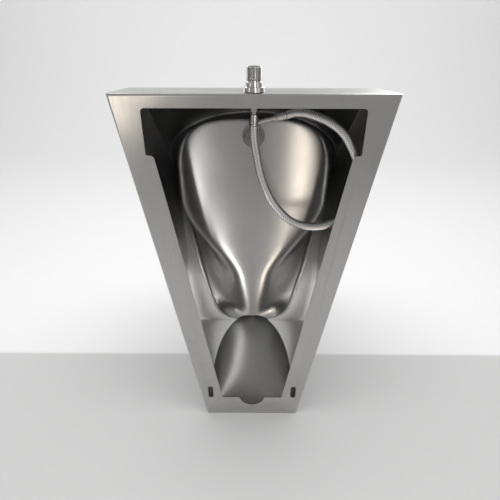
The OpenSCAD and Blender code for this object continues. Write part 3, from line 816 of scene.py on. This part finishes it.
@dataclass(frozen=True)
class SheetPart:
    """One laser-cut and folded sheet of the housing, with its edges broken.

    Attributes:
        node: CAD node that it follows.
        name: Name of the piece.
        finish: Its finish.
        edge: Width of a broken edge.
        fold_deg: Edges that turn by more than this are broken.
        flat_deg: Faces that turn by less than this are joined.
    """

    node: str
    name: str
    finish: Finish
    edge: float = 0.35 * MM
    fold_deg: float = 40.0
    flat_deg: float = 0.3

    def build(self) -> None:
        """Makes the sheet with its broken edges."""
        mesh = bmesh.new()
        mesh.from_mesh(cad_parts[self.node].data)
        bmesh.ops.remove_doubles(mesh, verts=mesh.verts, dist=2 * MERGE_DISTANCE)
        flat = math.radians(self.flat_deg)
        bmesh.ops.dissolve_limit(mesh, angle_limit=flat, verts=mesh.verts, edges=mesh.edges)
        fold = math.radians(self.fold_deg)
        sharp = [e for e in mesh.edges if e.is_manifold and e.calc_face_angle(0.0) > fold]
        bmesh.ops.bevel(
            mesh, geom=sharp, offset=self.edge, offset_type="OFFSET", segments=2, profile=0.5,
            affect="EDGES", clamp_overlap=True, material=-1,
        )
        piece = new_piece(self.name, mesh, CRISP_DEG)
        finish_piece(piece, self.finish, "housing_steel", self.node)


@dataclass(frozen=True)
class Bowl:
    """Pressed bowl between the hood's arched mouth and the trap's cut-out.

    Attributes:
        housing: Skin that its rim lies in.
        mouth_half_w: Half of the mouth's width.
        mouth_z: Height of the mouth's widest point.
        top_z: Height of the mouth's arch.
        foot_share: Width of the mouth at its foot, as a share of its width.
        back_half_w: Half width of the bowl's back.
        back_top_z: Height of the top of the bowl's back.
        back_square: Squareness of the top of the back.
        back_t: Depth of the bowl's back.
        crown_r: Radius of the back's crown.
        shoulder: Softness of the edge between the back and the walls.
        ridge_half_w: Half width of the ridge at its foot.
        ridge_r: Radius of the ridge's crown.
        rim_blend: Rounding of the flanks behind the nose edge.
        access_half_w: Half width of the arched cut-out.
        access_top_z: Top of the arched cut-out.
        access_mid_z: Height at which it is widest.
        spigot_z: Height of the spreader's hole.
        spigot_r: Radius of that hole.
        around: Points round a ring.
        rings: Rings from the middle to the rim.
        bead_r: Radius of the bead that joins the rim to the housing.
    """

    housing: HousingForm
    mouth_half_w: float = 166 * MM
    mouth_z: float = 458 * MM
    top_z: float = 557 * MM
    foot_share: float = 126 / 332
    back_half_w: float = 123 * MM
    back_top_z: float = 562 * MM
    back_square: float = 3.4
    back_t: float = 57 * MM
    crown_r: float = 450 * MM
    shoulder: float = 10 * MM
    ridge_half_w: float = 24 * MM
    ridge_r: float = 80 * MM
    rim_blend: float = 35 * MM
    access_half_w: float = 80 * MM
    access_top_z: float = 186 * MM
    access_mid_z: float = 46 * MM
    spigot_z: float = 537 * MM
    spigot_r: float = 10.75 * MM
    around: int = 216
    rings: int = 80
    bead_r: float = 3.8 * MM

    TAPER = 1.45  # power of the mouth's taper
    FOOT_SQUARE = 40  # power that rounds the mouth's foot
    OUTLINE_POWER = 1.1  # spacing of the outline's points on the way down
    SIDE_SLANT = 1.02  # sheet's thickness measured level through a slanting side
    NARROW_END = 0.64  # where the back has narrowed to the ridge
    NARROW_RUN = 0.54  # over what stretch it does so
    RIDGE_SPREAD = 0.16  # half width that the ridge gains as it rises
    RIM_POWER = 6  # how late a flank leads into the nose edge
    WIDEST_BACK = 0.85  # greatest share of the mouth that the back takes
    LANDING = 0.6  # extra power of the walls' run into the back
    LANDING_RATE = 1.8  # how soon that sets in on the way down
    ARCH_START = 0.9  # share at which the wall starts under the arch
    RING_POWER = 1.2  # spacing of the rings, which lie closer at the rim
    BEAD_FOOT_SHARE = 0.35  # share of the bead's radius at its foot
    BEAD_CLEAR = 0.6  # share of the cut-out's width that stays free of the bead
    BEAD_STAND = 0.6  # share of its radius that its middle stands off the sheet
    BEAD_STEPS = 300

    def low(self, z: float) -> float:
        """Returns how far a height lies from the mouth's widest point down to its foot."""
        return max(0.0, (self.mouth_z - z) / (self.mouth_z - self.housing.bend_z))

    def mouth_half(self, z: float) -> float:
        """Returns half of the mouth's width at a height.

        Args:
            z: The height.

        Returns:
            Half of the width.
        """
        if z >= self.mouth_z:
            share = min(1.0, (z - self.mouth_z) / (self.top_z - self.mouth_z))
            return self.mouth_half_w * math.sqrt(1 - share * share)
        h = min(1.0, self.low(z))
        foot = math.sqrt(max(0.0, 1 - h**self.FOOT_SQUARE))
        return self.mouth_half_w * (1 - (1 - self.foot_share) * h**self.TAPER) * foot

    def free_mouth(self, angle: float) -> tuple[float, float]:
        """Returns the mouth's outline at an angle, as x and z.

        Args:
            angle: Angle round the mouth's widest point.

        Returns:
            The point.
        """
        c, s = math.cos(angle), math.sin(angle)
        if s >= 0:
            return self.mouth_half_w * c, self.mouth_z + (self.top_z - self.mouth_z) * s
        z = self.mouth_z - (self.mouth_z - self.housing.bend_z) * (-s) ** self.OUTLINE_POWER
        return math.copysign(self.mouth_half(z), c), z

    def mouth(self, angle: float) -> tuple[float, float]:
        """Returns the same point, kept inside the side panels.

        Args:
            angle: Angle round the mouth's widest point.

        Returns:
            The point.
        """
        x, z = self.free_mouth(angle)
        side = self.housing.sheet * self.SIDE_SLANT + 2 * self.housing.gap
        return math.copysign(min(abs(x), self.housing.half_width(z) - side), x), z

    def back_half(self, z: float) -> float:
        """Returns half of the back's width, which narrows to a ridge on its way down.

        Args:
            z: The height.

        Returns:
            Half of the width.
        """
        q = min(1.0, max(0.0, (self.NARROW_END - self.low(z)) / self.NARROW_RUN))
        ridge = self.ridge_half_w + self.RIDGE_SPREAD * (z - self.housing.bend_z)
        return ridge + (self.back_half_w - ridge) * q * q * (3 - 2 * q)

    def back_depth(self, x: float, z: float) -> float:
        """Returns the depth of the back, without the walls.

        Args:
            x: Distance from the middle.
            z: The height.

        Returns:
            The depth.
        """
        h = self.low(z)
        bulge = 0.5 / self.crown_r + 0.5 / self.ridge_r * h * h
        reach = x / self.back_half(z)
        middle = self.back_t + (self.housing.bend_t - self.back_t) * h * h
        return middle + bulge * x * x / (1 + 0.5 * reach**2)

    def rim_depth(self, z: float, share: float) -> float:
        """Returns the depth that a flank leads to, rounded over the nose edge but at the rim."""
        soft = self.housing.blended_t(z, self.rim_blend)
        return soft + (self.housing.skin_t(z) - soft) * share**self.RIM_POWER

    def turn_width(self, start: float, z: float) -> float:
        """Returns the softness of the turn as a share of the section."""
        return self.shoulder * (1 - start) / (self.rim_depth(z, 0) - self.back_depth(0, z))

    def depth(self, x: float, z: float) -> float:
        """Returns the depth of the dry side from the middle of the mouth down.

        Args:
            x: Distance from the middle.
            z: The height.

        Returns:
            The depth.
        """
        half = self.mouth_half(z)
        share = 1.0 if half < 0.01 * MM else min(1.0, abs(x) / half)
        start = min(self.WIDEST_BACK, self.back_half(z) / max(half, 1 * MM))
        rest = 1 - turn(share, start, self.turn_width(start, z))
        landing = 1 + self.LANDING * min(1.0, self.LANDING_RATE * self.low(z))
        rim = self.rim_depth(z, share)
        return rim - (rim - self.back_depth(x, z)) * max(0.0, rest) ** landing

    def low_point(self, angle: float, reach: float) -> Vector:
        """Returns a point of the dry side below the widest point of the mouth.

        Args:
            angle: Angle round the middle of the back.
            reach: Share of the way to the rim.

        Returns:
            The point.
        """
        x, z = self.mouth(angle)
        height = self.mouth_z + reach * (z - self.mouth_z)
        depth = self.depth(reach * self.free_mouth(angle)[0], height)
        return Vector((reach * x, -depth, height))

    def high_point(self, angle: float, reach: float) -> Vector:
        """Returns a point of the dry side above the widest point of the mouth.

        Args:
            angle: Angle round the middle of the back.
            reach: Share of the way to the rim.

        Returns:
            The point.
        """
        c, s = math.cos(angle), max(0.0, math.sin(angle))
        power = 2 / self.back_square
        back_h = self.back_top_z - self.mouth_z
        back = Vector((self.back_half_w * signed_power(c, power), back_h * s**power))
        across = self.back_half_w / self.mouth_half_w
        start = across + (self.ARCH_START - across) * s * s
        rise = turn(reach, start, self.turn_width(start, self.mouth_z))
        x, z = self.mouth(angle)
        to_rim = Vector((x, z - self.mouth_z)) - back - back / start * (1 - start)
        place = back / start * reach + to_rim * rise
        height = place.y + self.mouth_z
        rim = self.rim_depth(height, reach)
        depth = rim - (rim - self.back_depth(place.x, self.mouth_z)) * (1 - rise)
        return Vector((place.x, -depth, height))

    def point(self, angle: float, reach: float) -> Vector:
        """Returns a point of the dry side.

        Args:
            angle: Angle round the middle of the back.
            reach: Share of the way from the middle to the rim.

        Returns:
            The point.
        """
        if reach >= 1:
            x, z = self.mouth(angle)
            return Vector((x, -self.housing.skin_t(z), z))
        if math.sin(angle) < -1e-9:
            return self.low_point(angle, reach)
        return self.high_point(angle, reach)

    def shell(self) -> Piece:
        """Returns the pressed shell, with its two cut-outs."""
        mesh = bmesh.new()
        ring = bmesh.ops.create_circle(mesh, segments=self.around, radius=1.0)["verts"]
        for i in range(self.rings, 0, -1):
            ring = ring if i == self.rings else grown_ring(mesh, ring)
            reach = 1 - (1 - i / self.rings) ** self.RING_POWER
            for k, vert in enumerate(ring):
                vert.co = self.point(math.tau * k / self.around, reach)
        middle = bmesh.ops.contextual_create(mesh, geom=ring_edges(mesh, ring))
        bmesh.ops.poke(mesh, faces=middle["faces"])
        piece = pressed("bowl_pressing", mesh, 1, self.housing.sheet, even=True)
        return cut(piece, [self.access_tool(), self.spigot_tool()])

    def access_tool(self) -> Piece:
        """Returns the body that cuts the ridge's foot away."""
        start, reach, drop = 20 * MM, 120 * MM, 40 * MM
        mesh = bmesh.new()
        ring = bmesh.ops.create_circle(mesh, segments=96, radius=1.0, cap_ends=True)["verts"]
        rise = self.access_top_z - self.access_mid_z
        for vert in ring:
            x, z = vert.co.x, vert.co.y
            height = self.access_mid_z + (rise if z > 0 else drop) * z
            vert.co = (self.access_half_w * x, -start, height)
        grown = bmesh.ops.extrude_face_region(mesh, geom=mesh.faces[:])["geom"]
        bmesh.ops.translate(mesh, verts=verts_of(grown), vec=(0, -reach, 0))
        bmesh.ops.recalc_face_normals(mesh, faces=mesh.faces)
        return new_piece("access_tool", mesh)

    def spigot_tool(self) -> Piece:
        """Returns the body that cuts the spreader's hole."""
        back_off, length = 10 * MM, 25 * MM
        foot = Vector((0, -self.back_t + back_off, self.spigot_z))
        profile = [(0, 0), (self.spigot_r, 0), (self.spigot_r, length), (0, length)]
        return new_piece("spigot_tool", lathe(profile, axis_matrix(foot, Vector((0, -1, 0)))))

    def weld_bead(self) -> Piece:
        """Returns the bead, which thins out to its foot and leaves the cut-out free."""
        foot_z, thin_h = 200 * MM, 160 * MM
        ripple_share, ripple_turn = 0.004, 1.9
        path, shares = [], []
        for k in range(self.BEAD_STEPS + 1):
            x, z = self.mouth(math.radians(-90 + 360 * k / self.BEAD_STEPS))
            if z < foot_z and abs(x) < self.BEAD_CLEAR * self.access_half_w:
                continue
            rise = max(0.0, z - self.housing.bend_z) / thin_h
            share = min(1.0, self.BEAD_FOOT_SHARE + rise)
            ripple = 1 + ripple_share * math.sin(ripple_turn * k) * share
            inward = self.housing.sheet + self.BEAD_STAND * self.bead_r * share
            path.append(Vector((x * ripple, -(self.housing.skin_t(z) - inward), z)))
            shares.append(share)
        return new_piece("rim_weld", swept(path, self.bead_r, 10, shares), TUBE_DEG)

    def build(self) -> None:
        """Makes the bowl and its weld."""
        finish_piece(self.shell(), Finish.BOWL, "bowl_steel", "bowl_shell")
        finish_piece(self.weld_bead(), Finish.WELD, "housing_steel")


@dataclass(frozen=True)
class Scoop:
    """Rounded scoop under the mouth, with its rolled lip.

    Attributes:
        housing: Skin that its edges meet.
        lip_z: Height of the lip.
        lip_t: Depth of the lip.
        lip_r: Radius of the rolled lip.
        step: How far the scoop stands in from the sides at its foot.
        blend_z: Height at which it runs out into the sides.
        roundness: Roundness of its section.
        rows: Rows of the grid.
        columns: Columns of the grid.
    """

    housing: HousingForm
    lip_z: float = 338 * MM
    lip_t: float = 338 * MM
    lip_r: float = 4.4 * MM
    step: float = 12 * MM
    blend_z: float = 360 * MM
    roundness: float = 2.3
    rows: int = 60
    columns: int = 120

    FRONT_POWER = 0.62  # how the front bellies out on the way up
    ROW_POWER = 1.2  # spacing of the rows, which lie closer at the foot
    LIP_STEPS = 72  # steps of the lip from the middle to a side
    LIP_END = 68  # step at which it ends

    def half_width(self, z: float) -> float:
        """Returns half of the scoop's width at a height."""
        return self.housing.half_width(z) - self.step * max(0.0, 1 - (z / self.blend_z) ** 2)

    def front_t(self, z: float) -> float:
        """Returns the depth of the scoop's middle line."""
        foot = self.housing.foot_t + 2 * self.housing.sheet
        return foot + (self.lip_t - foot) * max(0.0, z / self.lip_z) ** self.FRONT_POWER

    def point(self, u: float, v: float) -> Vector:
        """Returns a point of the outer face.

        Args:
            u: From -1 at one side to 1 at the other.
            v: From 0 at the foot to 1 at the rim.

        Returns:
            The point.
        """
        side_top = self.housing.nose_z - self.housing.nose_r
        top = self.lip_z + (side_top - self.lip_z) * u * u
        bend = self.housing.bend_z
        above = bend + (top - bend) * (2 * v - 1)
        z = bend * (2 * v) ** self.ROW_POWER if v < 0.5 else above
        back = self.housing.skin_t(z) + 2 * self.housing.gap
        angle = math.pi / 2 * u
        power = 2 / self.roundness
        x = self.half_width(z) * signed_power(math.sin(angle), power)
        belly = (self.front_t(z) - back) * max(0.0, math.cos(angle)) ** power
        return Vector((x, -back - belly, z))

    def lip_point(self, u: float) -> Vector:
        """Returns a point of the lip's centre line, above the middle of the sheet's edge.

        Args:
            u: From -1 at one side to 1 at the other.

        Returns:
            The point.
        """
        nudge, inset = 0.01, 0.03
        rim, below = self.point(u, 1.0), self.point(u, 1.0 - inset)
        after, before = self.point(min(1.0, u + nudge), 1.0), self.point(max(-1.0, u - nudge), 1.0)
        along = (after - before).normalized()
        inward = along.cross(rim - below).normalized()
        upward = along.cross(inward).normalized()
        upward = upward if upward.z > 0 else -upward
        inward = inward if inward.dot(Vector((-rim.x, 1.0, 0.0))) > 0 else -inward
        return rim + inward * self.housing.sheet / 2 + upward * self.lip_r

    def shell(self) -> Piece:
        """Returns the scoop's shell."""
        mesh = bmesh.new()
        bmesh.ops.create_grid(mesh, x_segments=self.columns, y_segments=self.rows, size=1.0)
        for vert in mesh.verts:
            vert.co = self.point(vert.co.x, (vert.co.y + 1) / 2)
        return baked(pressed("scoop_pressing", mesh, -1, self.housing.sheet, even=False))

    def lip(self) -> Piece:
        """Returns the rolled lip along the rim."""
        steps = range(-self.LIP_END, self.LIP_END + 1)
        path = [self.lip_point(step / self.LIP_STEPS) for step in steps]
        return new_piece("scoop_lip", swept(path, self.lip_r, 20), TUBE_DEG)

    def build(self) -> None:
        """Makes the scoop and its lip, which stand for the CAD scoop."""
        finish_piece(self.shell(), Finish.SCOOP, "scoop_steel", "scoop_shell")
        finish_piece(self.lip(), Finish.SCOOP, "scoop_steel")


@dataclass(frozen=True)
class Hose:
    """Braided supply hose on its real route, with its crimped ferrules.

    Attributes:
        route: Points of the route as x, depth and z, in millimetres.
        start: First point, at the inlet ferrule.
        end: Where the outlet ferrule's run starts.
        stem_end: Where that run ends, in the elbow.
        diameter: Outer diameter of the braid.
        ferrule_r: Radius of a ferrule.
        ferrule_l: Length of a ferrule.
        bead_l: Length of a ferrule's end bead.
        bore_r: Radius of a ferrule's bore.
        crimps: Grooves pressed into a ferrule.
        crimp_depth: Depth of a groove.
        gap: Clearance between the hose and its ferrules.
        subdivisions: Steps of the curve from one point of the route to the next.
    """

    route: tuple[Triple, ...] = (
        (0, 20, 546), (-1, 20, 535), (-4, 19, 518), (-9, 18, 494), (-18, 16, 468),
        (-33, 15, 442), (-54, 14, 420), (-76, 13, 410), (-99, 13, 408), (-123, 13, 414),
        (-143, 13, 430), (-154, 14, 454), (-156, 14, 482), (-149, 15, 508), (-138, 17, 530),
        (-125, 20, 548), (-107, 24, 561), (-87, 28, 569), (-70, 31, 573),
    )
    start: Triple = (0, 20, 557.4)
    end: Triple = (-46, 34, 570)
    stem_end: Triple = (-5, 38, 559)
    diameter: float = 12 * MM
    ferrule_r: float = 5.7 * MM
    ferrule_l: float = 12.5 * MM
    bead_l: float = 2.2 * MM
    bore_r: float = 2.5 * MM
    crimps: int = 3
    crimp_depth: float = 0.55 * MM
    gap: float = 0.15 * MM
    subdivisions: int = 6

    CRIMP_DEG = 40.0  # edges of a ferrule sharper than this stay sharp

    @staticmethod
    def row(point: Sequence[float]) -> Vector:
        """Returns a point given as x, depth and z in millimetres, in the row frame."""
        return Vector((point[0], -point[1], point[2])) * MM

    def run(self) -> Vector:
        """Returns the direction of the outlet ferrule's run."""
        return (self.row(self.stem_end) - self.row(self.end)).normalized()

    def centre_line(self) -> list[Vector]:
        """Returns the hose's centre line, a smooth curve through its route."""
        tail = self.row(self.end) - self.run() * self.diameter
        knots = [self.row(self.start), *map(self.row, self.route), tail]
        line = []
        for i in range(len(knots) - 1):
            a, b = knots[max(i - 1, 0)], knots[i]
            c, d = knots[i + 1], knots[min(i + 2, len(knots) - 1)]
            first, second, third = c - a, 2 * a - 5 * b + 4 * c - d, 3 * b - a - 3 * c + d
            for k in range(self.subdivisions):
                s = k / self.subdivisions
                line.append(0.5 * (2 * b + first * s + second * s**2 + third * s**3))
        return [*line, tail, self.row(self.end) - self.run() * self.gap]

    def ferrule(self, name: str, foot: Vector, direction: Vector) -> None:
        """Makes a crimped ferrule, which stands for the CAD node of its name with hose_ before.

        Args:
            name: Name of the piece.
            foot: Its end on the fitting's side.
            direction: From that end to the hose.
        """
        r, bore, chamfer = self.ferrule_r, self.bore_r, 1 * MM
        floor = r - self.crimp_depth
        outer = [(bore, 0), (r - chamfer, 0), (r, chamfer)]
        for k in range(self.crimps):
            low = (2.6 + 3.1 * k) * MM
            outer += [(r, low), (floor, low + 0.5 * MM), (floor, low + 1.5 * MM), (r, low + 2 * MM)]
        neck, end, tip = r - 0.6 * MM, self.ferrule_l, self.ferrule_l + self.bead_l
        hose_r = self.diameter / 2
        outer += [(r, end - 0.8 * MM), (neck, end - 0.4 * MM), (neck, end + 0.2 * MM)]
        outer += [(hose_r - 0.3 * MM, end + 0.3 * MM), (hose_r, end + 0.8 * MM)]
        outer += [(hose_r, tip - 0.4 * MM), (hose_r - 0.4 * MM, tip), (bore, tip)]
        body = lathe(outer, axis_matrix(foot, direction), 64)
        piece = new_piece(name, body, self.CRIMP_DEG)
        finish_piece(piece, Finish.NICKEL, "fitting_nickel", f"hose_{name}")

    def build(self) -> None:
        """Makes the hose and its two ferrules."""
        path = self.centre_line()
        hose = new_piece("braided_hose", swept(path, self.diameter / 2, 32), TUBE_DEG)
        finish_piece(hose, Finish.BRAID, "braided_hose", "supply_hose")
        length = sum((b - a).length for a, b in zip(path, path[1:]))
        LOG.info("hose length %.4f m", length)
        tuple(path[0])
        [tuple(p) for p in path]
        low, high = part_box("hose_inlet_ferrule")
        top = Vector(((low.x + high.x) / 2, (low.y + high.y) / 2, high.z))
        self.ferrule("inlet_ferrule", top, Vector((0, 0, -1)))
        foot = self.row(self.end) + self.run() * (self.ferrule_l + self.bead_l + self.gap)
        self.ferrule("outlet_ferrule", foot, -self.run())


@dataclass(frozen=True)
class InletNipple:
    """Threaded nipple on the housing's top.

    Attributes:
        place: Foot of the collar on the axis.
        thread_r: Radius of the thread.
        bore_r: Radius of the bore.
        collar_r: Radius of the collar.
        collar_h: Height of the collar.
        shank_r: Radius of the smooth shank.
        shank_h: Height of the smooth shank.
        thread_h: Length of the thread above the shank.
        tail_h: Length of the thread below the collar.
        union_r: Radius of the socket for the hose's union.
        pitch: Pitch of the thread.
        tooth: Depth of the thread.
        relief: Depth of the groove under the thread and of the chamfer at its end.
        soft: Size of a rounded edge.
        seat: Gap between the collar and the housing's top.
    """

    place: Triple = (0, -20 * MM, 600 * MM)
    thread_r: float = 10.48 * MM
    bore_r: float = 7.5 * MM
    collar_r: float = 14 * MM
    collar_h: float = 7 * MM
    shank_r: float = 11.1 * MM
    shank_h: float = 6 * MM
    thread_h: float = 17 * MM
    tail_h: float = 16 * MM
    union_r: float = 6.85 * MM
    pitch: float = 1.81 * MM
    tooth: float = 1.0 * MM
    relief: float = 1.5 * MM
    soft: float = 0.8 * MM
    seat: float = 0.15 * MM

    CREST = (0.42, 0.58)  # where a tooth's crest starts and ends, as shares of the pitch

    def teeth(self, low: float, high: float) -> list[tuple[float, float]]:
        """Returns the points of a thread's outline between two heights.

        Args:
            low: Height at which it starts.
            high: Height that it doesn't pass.

        Returns:
            Points of radius and height.
        """
        root = self.thread_r - self.tooth
        points = [(root, low)]
        for k in range(int((high - low) / self.pitch)):
            base = low + self.pitch * k
            points += [(self.thread_r, base + share * self.pitch) for share in self.CREST]
            points.append((root, base + self.pitch))
        return points

    def build(self) -> None:
        """Makes the nipple with its thread."""
        edge, groove_h, gap = 0.5 * MM, 1.2 * MM, 0.3 * MM
        soft, collar_r, collar_h = self.soft, self.collar_r, self.collar_h
        shank_top = collar_h + self.shank_h
        top = shank_top + 2 * MM + self.thread_h
        groove_r = self.thread_r - self.relief
        profile = [
            (self.union_r, -self.tail_h), *self.teeth(-self.tail_h, -edge),
            (self.thread_r - self.tooth, self.seat), (collar_r - soft, self.seat),
            (collar_r, soft), (collar_r, collar_h - soft), (collar_r - soft, collar_h),
            (self.shank_r, collar_h), (self.shank_r, shank_top - edge),
            (self.shank_r - edge, shank_top),
            (groove_r, shank_top), (groove_r, shank_top + groove_h),
            *self.teeth(shank_top + groove_h + gap, top - 2 * gap),
            (groove_r, top), (self.bore_r + soft, top), (self.bore_r, top - soft),
            (self.bore_r, -self.tail_h / 2 + 2 * MM), (self.union_r, -self.tail_h / 2 + 1 * MM),
        ]
        body = lathe(profile, Matrix.Translation(self.place), 128)
        piece = new_piece("nipple", body, CRISP_DEG)
        finish_piece(piece, Finish.NICKEL, "fitting_nickel", "inlet_nipple")


@dataclass(frozen=True)
class SoftBox:
    """One rectangular studio light.

    Attributes:
        name: Name of the light.
        place: Where it hangs.
        aim: Point that it faces.
        size: Width and height.
        power: Power in watts.
        takers: Pieces that take it.
        colour: Tint.
        spread: Opening of its beam, in radians.
    """

    name: str
    place: Triple
    aim: Triple
    size: tuple[float, float]
    power: float
    takers: Takers = Takers.ALL
    colour: Triple = WHITE
    spread: float = math.pi

    def build(self) -> None:
        """Hangs the light."""
        data = bpy.data.lights.new(self.name, "AREA")
        data.shape = "RECTANGLE"
        data.size, data.size_y = self.size
        data.energy = self.power
        data.color = self.colour
        data.spread = self.spread
        lamp = bpy.data.objects.new(self.name, data)
        lamp.location = self.place
        lamp.rotation_mode = "QUATERNION"
        ahead = Vector(self.aim) - Vector(self.place)
        lamp.rotation_quaternion = ahead.to_track_quat("-Z", "Y")
        lamp.visible_camera = False
        lamp.visible_diffuse = self.takers is not Takers.SHINE
        if self.takers.named:
            lamp.light_linking.receiver_collection = self.takers.group()
        bpy.context.scene.collection.objects.link(lamp)


BOWL_AIM = (0, -0.06, 0.36)
ROOF_AIM = (0, -0.06, 0.42)
FRONT_AIM = (0, -0.2, 0.35)
NARROW_BEAM = 0.6
LIGHTS = (
    SoftBox("left_high", (0.48, 0.72, 0.12), BOWL_AIM, (0.045, 0.22), 0.55, Takers.ROUND),
    SoftBox(
        "left_corner", (0.5, 0.74, 0.56), (0.19, 0, 0.6), (0.18, 0.14), 0.45, Takers.FRAME, WARM,
    ),
    SoftBox("left_warm", (0.72, 0.52, 0.5), ROOF_AIM, (0.04, 0.7), 0.5, Takers.ROUND, WARM),
    SoftBox("right_high", (-0.42, 0.76, 0.24), BOWL_AIM, (0.035, 0.46), 0.85, Takers.ROUND, WARM),
    SoftBox("right_warm", (-0.72, 0.52, 0.5), ROOF_AIM, (0.04, 0.7), 0.5, Takers.ROUND, WARM),
    SoftBox("left_low", (0.19, 0.12, 0.11), (0.02, -0.09, 0.26), (0.05, 0.14), 0.36, Takers.ROUND),
    SoftBox(
        "right_low", (-0.2, 0.11, 0.11), (-0.02, -0.09, 0.26), (0.06, 0.14), 0.4, Takers.ROUND,
        WARM,
    ),
    SoftBox("scoop_high", (-0.28, 0.47, 0.95), (0.02, -0.15, 0.1), (0.1, 0.4), 0.9, Takers.SCOOP),
    SoftBox("rim_low", (0, 0.9, 0.3), (0, -0.15, 0.55), (1.2, 0.3), 3.0, Takers.RIM),
    SoftBox(
        "left_inside", (0.54, 0.45, 0.77), (-0.04, -0.12, 0.33), (0.25, 0.25), 0.19,
        Takers.PANELS, spread=NARROW_BEAM,
    ),
    SoftBox(
        "right_inside", (-0.54, 0.45, 0.77), (0.04, -0.12, 0.33), (0.25, 0.25), 0.19,
        Takers.PANELS, spread=NARROW_BEAM,
    ),
    SoftBox("fitting_light", (-0.25, 0.9, 0.75), (0, -0.02, 0.6), (0.2, 0.5), 1.6, Takers.FITTINGS),
    SoftBox("front_left", (-1.0, -1.5, 1.1), FRONT_AIM, (0.5, 1.3), 14.0, Takers.SHINE),
    SoftBox("front_right", (1.2, -1.3, 1.3), FRONT_AIM, (0.3, 1.3), 8.0, Takers.SHINE),
    SoftBox("top_box", (0, 0.1, 2.0), (0, 0, 0), (2.4, 1.0), 30.0, Takers.FLOOR),
    SoftBox("back_box", (0, -1.1, 2.6), (0, -3.2, 0.9), (6.0, 1.0), 48.0),
)


@dataclass(frozen=True)
class Studio:
    """Camera, pale floor and soft light.

    Attributes:
        camera_place: Where the camera stands.
        pitch: How far it looks down, in radians.
        yaw: How far it looks aside, in radians.
        roll: How far it leans, in radians.
        lens: Focal length, in millimetres.
        sensor: Width of the sensor, in millimetres.
        sky: Brightness of the surroundings.
        sweep_y: Where the floor turns up into the backdrop.
        sweep_r: Radius of that turn.
        sweep_steps: Steps of that turn.
        half_w: Half width of the floor.
        near_y: End of the floor behind the camera.
        wall_z: Height of the backdrop.
    """

    camera_place: Triple = (0.0031, 0.5156, 0.6407)
    pitch: float = 0.47861
    yaw: float = -0.00296
    roll: float = 0.00307
    lens: float = 26.64
    sensor: float = 36.0
    sky: float = 0.42
    sweep_y: float = -2.0
    sweep_r: float = 1.2
    sweep_steps: int = 24
    half_w: float = 4.0
    near_y: float = 4.0
    wall_z: float = 3.0

    def camera(self) -> None:
        """Makes the camera at the photograph's viewing angle."""
        right = Vector((-math.cos(self.yaw), math.sin(self.yaw), 0))
        level = Vector((-math.sin(self.yaw), -math.cos(self.yaw), 0))
        sky = Vector((0, 0, 1))
        ahead = level * math.cos(self.pitch) - sky * math.sin(self.pitch)
        above = sky * math.cos(self.pitch) + level * math.sin(self.pitch)
        across = right * math.cos(self.roll) + above * math.sin(self.roll)
        upright = above * math.cos(self.roll) - right * math.sin(self.roll)
        data = bpy.data.cameras.new("camera")
        data.lens = self.lens
        data.sensor_width = self.sensor
        data.clip_start = 10 * MM
        camera = bpy.data.objects.new("camera", data)
        turn_matrix = Matrix((across, upright, -ahead)).transposed().to_4x4()
        camera.matrix_world = Matrix.Translation(self.camera_place) @ turn_matrix
        bpy.context.scene.collection.objects.link(camera)
        bpy.context.scene.camera = camera

    def floor(self) -> None:
        """Makes the floor and its sweep up into the backdrop."""
        mesh = bmesh.new()
        seam_y = 0.5
        outline = [(self.near_y, 0.0), (seam_y, 0.0), (self.sweep_y, 0.0)]
        for k in range(self.sweep_steps):
            angle = math.pi / 2 * (k + 1) / self.sweep_steps
            out, up = self.sweep_r * math.sin(angle), self.sweep_r * (1 - math.cos(angle))
            outline.append((self.sweep_y - out, up))
        outline.append((self.sweep_y - self.sweep_r, self.wall_z))
        points = [mesh.verts.new((-self.half_w, y, z)) for y, z in outline]
        edges = [mesh.edges.new(pair) for pair in zip(points, points[1:])]
        grown = bmesh.ops.extrude_edge_only(mesh, edges=edges)["geom"]
        bmesh.ops.translate(mesh, verts=verts_of(grown), vec=(2 * self.half_w, 0, 0))
        bmesh.ops.recalc_face_normals(mesh, faces=mesh.faces)
        floor = new_piece("studio_floor", mesh)
        paint(floor, Finish.FLOOR)

    def lights(self) -> None:
        """Hangs the soft lights and sets the surroundings."""
        bpy.context.scene.view_settings.view_transform = "Standard"
        world = bpy.data.worlds.new("studio")
        bpy.context.scene.world = world
        world.use_nodes = True
        background = world.node_tree.nodes["Background"]
        background.inputs["Color"].default_value = (*WHITE, 1.0)
        background.inputs["Strength"].default_value = self.sky
        for light in LIGHTS:
            light.build()

    def build(self) -> None:
        """Sets up the whole studio."""
        self.camera()
        self.floor()
        self.lights()


SHEETS = (
    SheetPart("back_frame", "wall_frame", Finish.FRAME),
    SheetPart("hood_panel", "hood", Finish.HOOD),
    SheetPart("lower_front_plate", "chin_and_foot", Finish.PANEL),
    SheetPart("left_side_panel", "left_cheek", Finish.PANEL),
    SheetPart("right_side_panel", "right_cheek", Finish.PANEL),
)
DRESSED = {
    Finish.SCOOP: ("sump_pan",),
    Finish.WASTE: ("waste_body", "waste_washer", "waste_locknut", "waste_strainer"),
    Finish.RUBBER: ("waste_gasket", "inlet_seal", "spreader_seal"),
    Finish.NICKEL: ("inlet_locknut", "hose_inlet_union", "hose_outlet_stem", "spray_nozzle"),
    Finish.ELBOW: ("spreader_elbow", "spreader_locknut", "spreader_washer"),
}


def main() -> None:
    """Builds the studio and the object, piece by piece."""
    logging.basicConfig(level=logging.INFO, format="%(name)s: %(message)s")
    Studio().build()
    Hose().build()
    housing = HousingForm()
    Bowl(housing).build()
    Scoop(housing).build()
    InletNipple().build()
    for sheet in SHEETS:
        sheet.build()
    for finish, names in DRESSED.items():
        for name in names:
            paint(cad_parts[name], finish)
            LOG.info("dressed %s", name)
    for takers in Takers:
        takers.fill()


if __name__ == "__main__":
    main()
